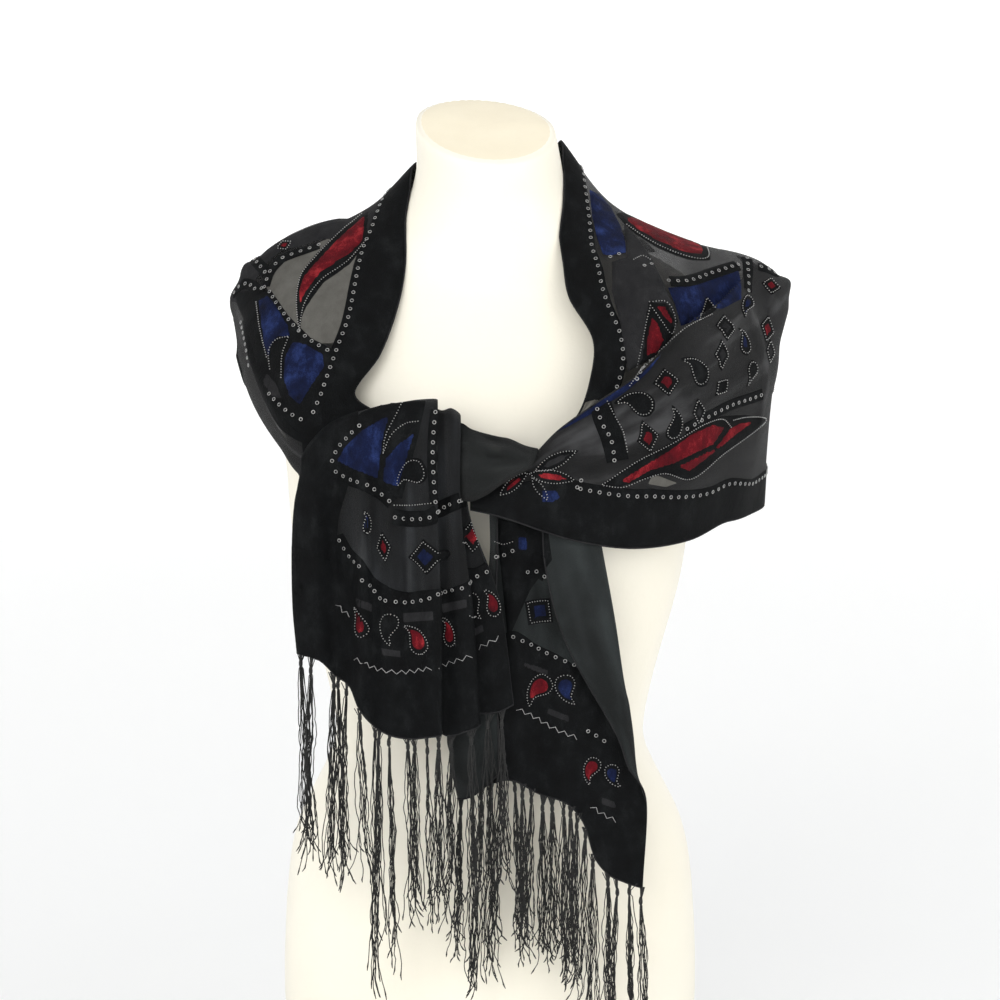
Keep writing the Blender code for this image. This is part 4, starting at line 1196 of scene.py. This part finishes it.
def zigzag(cloth, line):
    """A zigzag of silver thread, stitched along a line."""
    points = [place + np.cross(out, way) * STITCH_HEIGHT * (1 if k % 2 else -1) + out * ON_BAND
              for k, (place, way, out) in enumerate(spaced(line, STITCH_PITCH))]
    pile_up(cloth, "stitches", *tube(points, [STITCH_RADIUS] * len(points), 4))


def inset(cloth, edge, distances, rows=slice(None), widen=None):
    """Grid of places and ways out at distances from one edge of the cloth."""
    widen = np.ones(max(cloth.grid.shape)) if widen is None else widen
    both = np.concatenate([cloth.grid, cloth.normals], axis=2)
    if edge == "bottom":
        both = both.transpose(1, 0, 2)
    if edge != "first":
        both = both[:, ::-1]
    return np.array([at_steps(np.asarray(distances) * wider, walked(row[:, :3]), row)
                     for row, wider in zip(both[rows], widen[rows])])


def border(cloth, edge, far, rows=slice(None), widen=None):
    """A raised velvet border along one edge, from just inside it to a distance from it."""
    inner = np.linspace(BORDER_START, far, 2 + int((far - BORDER_START) / 3))[1:-1]
    distances = [BORDER_START, BORDER_START + PILE_EDGE, *inner, far - PILE_EDGE, far]
    found = inset(cloth, edge, distances, rows, widen)
    rise = np.full(len(distances), PILE_FOOT + PILE)
    rise[[0, -1]] = PILE_FOOT
    points = found[..., :3] + found[..., 3:] * rise[None, :, None]
    faces = grid_faces(*points.shape[:2])
    if edge == "outer":
        faces = [face[::-1] for face in faces]
    pile_up(cloth, BLACK, points.reshape(-1, 3), faces)


def hem(cloth, edge):
    """The cloth's edge rolled into a thin round hem."""
    line = inset(cloth, edge, [HEM_INSET])[:, 0, :3]
    pile_up(cloth, "hem", *tube(line, [HEM_RADIUS] * len(line), 6))


PAISLEY = ((0, -1), (0.55, -0.8), (0.72, -0.2), (0.42, 0.4), (-0.05, 0.78), (-0.55, 0.95), (-0.3, 0.5),
           (-0.45, 0.1), (-0.66, -0.4), (-0.45, -0.85), (0, -1))
LEAF_TOP = ((-1, 0), (-0.5, -0.26), (0.1, -0.3), (0.6, -0.16), (1, 0))
LEAF_FOOT = ((1, 0), (0.5, 0.24), (-0.1, 0.32), (-0.6, 0.2), (-1, 0))
SHAPES = {
    "diamond": ((-1, 0), (0, -1), (1, 0), (0, 1)),
    "square": ((-0.8, -0.8), (0.8, -0.8), (0.8, 0.8), (-0.8, 0.8)),
    "paisley": spline(PAISLEY, (4,) * 10)[:-1],
    "leaf": np.concatenate([spline(LEAF_TOP, (5,) * 4)[:-1], spline(LEAF_FOOT, (5,) * 4)[:-1]]),
}


def motif(cloth, shape, where, size, turn, colour, tall=1.0, edge=1.45, ground=True):
    """A coloured shape edged with beads, on a wider black one unless it sits on velvet already."""
    at = on_spot(cloth, *where, turn)
    outline = np.array(SHAPES[shape]) * (size / 2, size / 2 * tall)
    rise = SHAPE_RISE if ground else SHAPE_RISE_ON_VELVET
    if ground:
        lay(cloth, BLACK, outline * edge, at, step=1.7)
    if colour:
        lay(cloth, colour, outline * 0.86, at, base=rise, pile=0.4, step=1.5)
    beads(cloth, line_on(at, outline * (edge + 1) / 2, LINE_STEP, closed=True), rise + BEAD_RADIUS)


# The pattern on the front tail.
# A velvet border goes down the side and round the hem, with ring bands, diamonds on the sheer
# ground between them, and a row of paisleys and burnt-out bars over a silver zigzag.
FRONT_ROWS, FRONT_COLUMNS = (np.arange(count) for count in front.grid.shape[:2])
border(front, "first", 49, widen=np.interp(FRONT_ROWS, (10, 26, 34), (1.25, 1.1, 1)))
border(front, "bottom", 112, widen=np.interp(FRONT_COLUMNS, (4, 12, 26), (0.74, 0.78, 1)))
for bar in (
        ((403, 613), (433, 611), (434, 620), (403, 622)), ((441, 604), (466, 599), (467, 607), (442, 613)),
        ((382, 648), (400, 651), (400, 657), (383, 655)), ((357, 598), (371, 604), (371, 612), (358, 606)),
        ((473, 629), (483, 624), (484, 631), (474, 636))):
    patch(front, GREY, *bar, base=0.9, pile=0.1)
patch(front, BLACK, (334, 537), (343, 533), (352, 549), (363, 560), (374, 577), (386, 590), (384, 604),
      (356, 600), (338, 580))
patch(front, BLACK, (330, 470), (335, 444), (347, 424), (362, 412), (384, 402), (426, 401), (418, 437),
      (402, 499), (378, 491), (352, 481))
patch(front, BLUE, (336, 461), (343, 448), (360, 430), (391, 413), (385, 434), (382, 456), (379, 480),
      (358, 472), base=0.4)
patch(front, BLUE, (385, 458), (398, 443), (416, 431), (412, 446), (398, 488), (382, 482), base=0.4)
bead_curve(front, (384, 453), (386, 436), (397, 412), (403, 403), lift=1.5)
bead_curve(front, (384, 453), (392, 433), (406, 423), (419, 421), lift=1.6)
ring_curve(front, (332, 461), (338, 448), (348, 437), (360, 425))
ring_band(front, (436, 409), (434, 430), (433, 455), (434, 480), (436, 505), width=9)
ring_band(front, (332, 469), (350, 479), (367, 485), (382, 494), (393, 504))
ring_band(front, (393, 517), (412, 519), (431, 517), (441, 509), (456, 502), (474, 496), width=12)
bead_curve(front, (393, 505), (412, 505), (432, 503), lift=0.9)
for shape, spot, size, turn, colour, tall in (
        ("paisley", (410, 473), 20, 105, None, 1.0), ("diamond", (425, 557), 20, 6, BLUE, 0.95),
        ("diamond", (473, 536), 15, 0, RED, 1.25), ("paisley", (367, 522), 8, 0, BLUE, 1.7),
        ("diamond", (384, 547), 9, 8, RED, 1.9)):
    motif(front, shape, front.seen(*spot), size, turn, colour, tall)
for points in (
        ((340, 540), (350, 556), (360, 566)), ((362, 580), (372, 588), (381, 598)),
        ((383, 600), (405, 602), (427, 599), (443, 592), (464, 587), (474, 578), (490, 570))):
    ring_curve(front, *points)
for spot, size, turn, colour, tall in (
        ((359, 622), 11, 8, RED, 1.7), ((388, 629), 15, 165, None, 1.3),
        ((417, 638), 18, 25, RED, 1.15), ((449, 631), 12, 8, RED, 1.6),
        ((474, 606), 13, 190, None, 1.3), ((492, 602), 12, 12, RED, 1.5)):
    motif(front, "paisley", front.seen(*spot), size, turn, colour, tall, ground=False)
for points in (
        ((336, 602), (344, 611), (352, 616)), ((355, 658), (375, 668), (400, 672), (432, 668)),
        ((437, 667), (455, 661), (473, 655)), ((476, 649), (488, 643), (501, 636))):
    zigzag(front, curve_on(front, points))

# The pattern on the under tail.
# The same border, bands and paisleys as on the front tail; the folded edges show the plain side.
BETWEEN_FOLDS = slice(16, 76)
border(under, "bottom", 116, BETWEEN_FOLDS, np.interp(np.arange(76), (34, 60, 66, 75), (1, 0.9, 0.7, 0.6)))
patch(under, BLACK, (497, 518), (548, 530), (552, 560), (530, 590), (508, 640), (500, 560))
ring_curve(under, (493, 557), (504, 555), (516, 549))
ring_curve(under, (512, 636), (532, 645), (552, 655), (575, 665))
ring_curve(under, (584, 729), (596, 735), (608, 743))
patch(under, BLUE, (517, 536), (527, 537), (527, 551), (517, 550), base=0.5)
bead_curve(under, (494, 541), (504, 544), (514, 541))
ring_band(under, (526, 572), (536, 571), (546, 577), width=9)
motif(under, "square", under.seen(540, 611), 16, 8, BLUE)
for spot, size, turn, colour in (
        ((537, 689), 19, 130, RED), ((566, 690), 17, 185, BLUE),
        ((590, 770), 15, 150, RED), ((613, 776), 13, 190, BLUE)):
    motif(under, "paisley", under.seen(*spot), size, turn, colour, 1.15, ground=False)
for bar in (
        ((523, 661), (549, 670), (548, 676), (523, 667)), ((548, 707), (571, 716), (570, 723), (547, 714)),
        ((601, 797), (617, 802), (617, 809), (602, 804))):
    patch(under, GREY, *bar, base=0.72, pile=0.1)
for points in (((516, 708), (535, 717), (556, 729), (578, 738)), ((590, 805), (603, 814), (618, 821))):
    zigzag(under, curve_on(under, points))

# The pattern round the shoulders.
# A deep velvet border with its row of rings follows the neck and the outer edge all the way
# round; leaves, triangles, diamonds and paisleys in blue and red fill the sheer panels.
NECK_BORDER = 37
OUTER_BORDER = 30
YOKE_ROWS = np.arange(len(yoke.grid))
NECK_WIDENS = np.interp(YOKE_ROWS, (9, 26, 33, 40, 48, 57, 90, 108, 126, 135, 144, 160),
                        (1.8, 1.72, 1.62, 1.4, 1.02, 0.84, 0.9, 0.75, 0.85, 0.87, 0.67, 0.68))
OUTER_WIDENS = np.interp(YOKE_ROWS, (120, 140, 152, 165, 176, 190), (1, 1.25, 1.6, 1.5, 1.15, 0.8))
border(yoke, "first", NECK_BORDER, slice(6, 160), NECK_WIDENS)
rings(yoke, inset(yoke, "first", [NECK_BORDER - 4], slice(24, 156), NECK_WIDENS)[:, 0])
border(yoke, "outer", OUTER_BORDER, slice(40, None), OUTER_WIDENS)
rings(yoke, inset(yoke, "outer", [OUTER_BORDER - 3.5], slice(60, 166), OUTER_WIDENS)[:, 0])

# Photo left: a leaf and two wedges.
# They fill the panel between the neck border and the edge that is turned under. Where the cloth
# turns away from the camera, they are placed by its columns and rows.
turning = on_grid(yoke)
patch(yoke, BLACK, (232, 292), (258, 290), (271, 290), (288, 315), (311, 338), (338, 352), (336, 378),
      (326, 404), (324, 438), (304, 440), (268, 402), (258, 372), (250, 345), (243, 318))
patch(yoke, GREY, (267, 372), (277, 384), (284, 402), (272, 396), (262, 384), base=0.72, pile=0.1)
patch(yoke, BLUE, (258, 301), (268, 295), (276, 304), (289, 326), (291, 338), (279, 337), (272, 346),
      (270, 361), (264, 345), base=0.5)
patch(yoke, BLUE, (293, 341), (306, 344), (323, 354), (325, 367), (311, 388), (300, 406), (289, 396),
      (283, 378), (285, 356), base=0.5)
bead_curve(yoke, (257, 302), (261, 330), (268, 358))
bead_curve(yoke, (271, 370), (270, 350), (277, 340), (289, 337))
bead_curve(yoke, (289, 338), (283, 355), (282, 378))
ring_curve(yoke, (270, 292), (278, 305), (286, 316), (297, 329), (311, 341), (328, 351))
ring_curve(yoke, (268, 392), (279, 404), (291, 414), (305, 421))
ring_curve(yoke, (242, 322), (246, 342), (250, 366), pitch=6)
patch(yoke, BLACK, (50, 20), (56, 26), (59, 33), (60, 40), (66, 45), (76, 45), (77, 36), (76, 27), (66, 19),
      at=turning, step=0.8)
# Painted see-through light: a pale patch where light would show through one layer of the sheer.
patch(yoke, SHOW_THROUGH, (20, 50), (34, 50.2), (40, 50), (44, 48.8), (46.5, 47), (43, 42.5), (38, 39.8),
      (32, 37.4), (25, 35.2), (17, 33), (12, 35), (12, 42), (13, 47), at=turning, step=0.7, base=0.05,
      pile=0.15)
patch(yoke, GREY, (9, 58), (9.5, 46), (16, 47), (24, 50.5), (40, 51.5), (52, 49.5), (66, 49.5), (78, 49),
      (86, 52), (80, 58), (66, 60), (40, 62), (16, 61), at=turning, step=0.8, pile=0.3)
for run in (
        ((24.5, 49.4), (34, 50), (41, 50), (45, 48.8), (47, 47)),
        ((47, 47), (53, 47.8), (60, 49), (70, 50.6), (80, 51.4)), ((46, 49), (50, 53), (54, 58))):
    band = curve_on(yoke, run, turning, 0.5)
    ribbon(yoke, band, 9, base=0.4)
    rings(yoke, band, lift=1.4)
patch(yoke, BLACK, (14.5, 53), (20, 50.8), (25.5, 47.8), (30, 45.3), (31.8, 42), (31.2, 37.5), (29, 39.6),
      (26.5, 40.8), (22.5, 42.6), (16.5, 43.4), (12.2, 45.8), at=turning, step=0.7)
patch(yoke, RED, (15, 51.8), (19, 49.8), (24, 47), (28, 45.2), (30, 43), (29.4, 41), (27, 42.4), (23, 44.2),
      (17, 44.8), (13.5, 46.2), at=turning, step=0.6, base=0.5)
bead_curve(yoke, (16, 52.5), (20, 50.2), (25, 47.4), (29, 45.2), (31, 42), (31, 38.2), at=turning, step=0.4)
bead_curve(yoke, (12.8, 46), (17, 44), (22.8, 43.2), (27, 41.4), (31, 38), at=turning, step=0.4)
motif(yoke, "diamond", yoke.spot(52, 38), 10, 20, RED, 0.9)

# Photo right, above the fold: the collar's pleat over the shoulder panel.
# The pleat is a thick patch of the same cloth, so what lies on it is raised by its height.
PLEAT = 1.9
patch(yoke, GREY, (612, 262), (627, 257), (624, 224), (641, 242), (653, 262), (663, 282), (673, 304),
      (678, 322), (664, 344), (646, 360), (628, 372), (623, 345), (619, 318), (612, 292), base=0.1,
      pile=PLEAT)
patch(yoke, BLUE, (589, 190), (600, 195), (611, 208), (620, 226), (625, 241), (626, 253), (611, 256),
      (603, 255), (597, 238), (592, 217), base=0.5)
ring_curve(yoke, (606, 260), (614, 258), (622, 255), lift=PLEAT + 0.6)
bead_curve(yoke, (633, 262), (642, 258), (650, 262), lift=PLEAT + 0.4)
ring_curve(yoke, (643, 268), (652, 266), lift=PLEAT + 0.4, pitch=7)
patch(yoke, BLACK, (647, 301), (667, 303), (675, 320), (672, 336), (661, 352), (640, 366), (643, 340),
      base=PLEAT - 0.3)
patch(yoke, RED, (651, 316), (658, 324), (664, 341), (658, 353), (645, 358), (646, 341), base=PLEAT)
patch(yoke, RED, (653, 305), (665, 307), (672, 321), (672, 328), (663, 318), base=PLEAT)
bead_curve(yoke, (637, 368), (643, 340), (650, 309), lift=PLEAT + 0.9)
bead_curve(yoke, (649, 303), (666, 303), (674, 320), (671, 335), (661, 322), (650, 306), lift=PLEAT + 0.9)
patch(yoke, BLACK, (14.5, 110.5), (18, 107), (25, 105.5), (32, 107), (34.4, 111), (33.4, 114.6),
      (28, 114.3), (22, 113.5), (17, 112), at=turning, step=0.7)
patch(yoke, RED, (16, 110.3), (19, 107.6), (25, 106.3), (31, 107.6), (32.8, 110.6), (31.8, 113.2),
      (27, 113), (22, 112.3), (18, 111.4), at=turning, step=0.6, base=0.5)
bead_curve(yoke, (16.4, 111.6), (22, 113), (28, 113.8), (32.8, 114), (34, 110.6), at=turning, step=0.4)
ring_band(yoke, (668, 281), (688, 281), (712, 273), (738, 265))
ring_band(yoke, (747, 258), (748, 274), (748, 292), width=9)
ring_band(yoke, (757, 266), (767, 269), (776, 274), width=9)
patch(yoke, BLUE, (668, 288), (690, 286), (714, 279), (738, 270), (741, 282), (741, 299), (722, 309),
      (714, 308), (706, 297), (700, 319), (681, 326), (675, 305), base=0.3)
patch(yoke, BLACK, (698, 322), (706, 297), (716, 310), base=0.6)
beads(yoke, line_on(on_photo(yoke), flat(((699, 321), (706, 298), (715, 309)))))

# Photo right, below the fold: small shapes, a long leaf and its bands.
# They lie on the outer half of the cloth, which is folded over and runs down to the knot.
bead_curve(yoke, (629, 387), (641, 371), (660, 352), (686, 328), (712, 314), lift=0.9)
ring_curve(yoke, (636, 381), (641, 372), (646, 365), (652, 358), lift=1.0, pitch=6)
patch(yoke, BLUE, (69.5, 149), (71.5, 151), (73, 157), (73, 163), (72, 168), (69.5, 171), (69.2, 160),
      at=turning, step=0.8, base=0.3)
# Painted see-through light: a pale patch where light shows through the sheer.
patch(yoke, SHOW_THROUGH, (653, 474), (664, 478), (677, 483), (666, 487), (648, 484), base=0.05, pile=0.2)
for shape, spot, size, turn, colour, tall in (
        ("diamond", (771, 286), 12, 0, RED, 1.0), ("diamond", (726, 327), 14, 10, GREY, 1.1),
        ("diamond", (767, 329), 12, -10, RED, 1.4), ("paisley", (747, 305), 11, 150, BLUE, 1.6),
        ("paisley", (744, 341), 13, 10, BLUE, 1.2), ("diamond", (722, 355), 12, -5, GREY, 1.4),
        ("paisley", (697, 369), 17, 40, None, 1.2), ("diamond", (667, 382), 15, 8, RED, 1.0),
        ("paisley", (636, 402), 18, 70, None, 1.2), ("diamond", (770, 352), 10, -5, GREY, 1.4),
        ("paisley", (752, 373), 11, 140, None, 1.4), ("diamond", (648, 438), 13, 8, RED, 1.3),
        ("paisley", (676, 424), 14, -20, None, 1.3), ("diamond", (699, 412), 9, 0, GREY, 1.6),
        ("diamond", (722, 387), 8, -40, None, 1.8)):
    motif(yoke, shape, yoke.seen(*spot), size, turn, colour, tall)
ring_band(yoke, (684, 430), (707, 417), (731, 405), (752, 398), (763, 394), width=9)
ribbon(yoke, curve_on(yoke, ((600, 403), (605, 420), (612, 438), (618, 462))), 17)
ring_curve(yoke, (597, 409), (603, 426), (611, 440), (614, 461), pitch=7)
bead_curve(yoke, (607, 401), (615, 417), (623, 432), (627, 452), lift=1.2)
patch(yoke, BLACK, (601, 485), (634, 463), (674, 441), (704, 423), (722, 416), (745, 415), (768, 418),
      (752, 433), (724, 455), (690, 481), (664, 474), (640, 480), (616, 488))
patch(yoke, RED, (617, 482), (634, 471), (669, 450), (690, 434), (712, 424), (725, 427), (713, 445),
      (673, 464), (650, 471), (628, 483), base=0.5)
patch(yoke, RED, (676, 466), (714, 448), (729, 428), (740, 422), (755, 421), (737, 434), (712, 454),
      (689, 472), base=0.5)
bead_curve(yoke, (602, 484), (635, 463), (674, 442), (704, 424), (722, 419), (730, 427))
bead_curve(yoke, (603, 485), (622, 487), (645, 478), (664, 473), (689, 479), (722, 454), (765, 419),
           (745, 417), (732, 420))
for spot, size, turn, colour in (
        ((556, 461), 30, 25, GREY), ((552, 477), 30, -8, RED),
        ((514, 484), 24, 38, RED), ((540, 489), 18, -55, None)):
    motif(yoke, "leaf", yoke.seen(*spot), size, turn, colour, 0.9, 1.25)
patch(yoke, BLUE, (540, 490), (556, 489), (562, 497), (552, 504), (541, 503), base=0.3)
ring_curve(yoke, (577, 487), (581, 480), lift=1.0, pitch=6)

# Across the back and on both shoulders, out of the photograph's sight.
# The same band, leaves, diamonds and paisleys go on round the back, in an even order.
BAND_INSET = 96
band = inset(yoke, "first", [BAND_INSET], slice(58, 104))[:, 0]
ribbon(yoke, band, 11)
rings(yoke, band)
zigzag(yoke, inset(yoke, "outer", [OUTER_BORDER + 9], slice(60, 104))[:, 0])
for k, row in enumerate(range(58, 104, 6)):
    motif(yoke, "diamond", yoke.spot(row, 23), 17, 0, (RED, BLUE)[k % 2], 1.1)
for row, column, size, turn, colour in (
        (68, 64, 98, 70, RED), (81, 78, 150, 90, BLUE),
        (94, 64, 98, 110, RED), (104, 82, 100, 80, BLUE)):
    motif(yoke, "leaf", yoke.spot(row, column), size, turn, colour, 0.8, 1.14)
for k, (row, column) in enumerate(((61, 76), (73, 92), (76, 48), (87, 48), (89, 94), (99, 92), (105, 98))):
    motif(yoke, "paisley", yoke.spot(row, column), 19, 40 * k, (RED, None, BLUE)[k % 3], 1.2)

# Hems, and what is sewn to each cloth.
# The free edges are rolled and stitched down. The velvet, metal and hems of a cloth are one
# object for each finish and move with it.
for cloth, edges in ((yoke, ("first", "outer")), (front, ("first", "outer", "bottom")),
                     (under, ("first", "outer", "bottom")), (knot, ("first",))):
    for edge in edges:
        hem(cloth, edge)
trims = {}
for (cloth_name, finish), (verts, faces) in heaps.items():
    made = new_object(f"{cloth_name}_{finish}", verts, faces, FINISHES[finish])
    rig.slot(made, "bead_silver" if finish in ("beads", "rings", "stitches") else "shawl_cloth")
    trims.setdefault(cloth_name, []).append(made)

for cloth, made, held, rests in ((yoke, yoke_piece, "draped", ["form_body"]),
                                 (knot, knot_piece, "gathered", ["shawl_yoke"]),
                                 (front, front_piece, "gathered", ["shawl_knot"]),
                                 (under, under_piece, "folded", ["shawl_yoke"])):
    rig.sheet(made, flat=cloth.flat, held=held, rests_on=rests, with_pieces=trims[cloth.name])

shown_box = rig.bounds()
sizes = {"cad": [list(corner) for corner in cad_box], "visual": [list(corner) for corner in shown_box]}
with open("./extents.json", "w") as handle:
    json.dump(sizes, handle)
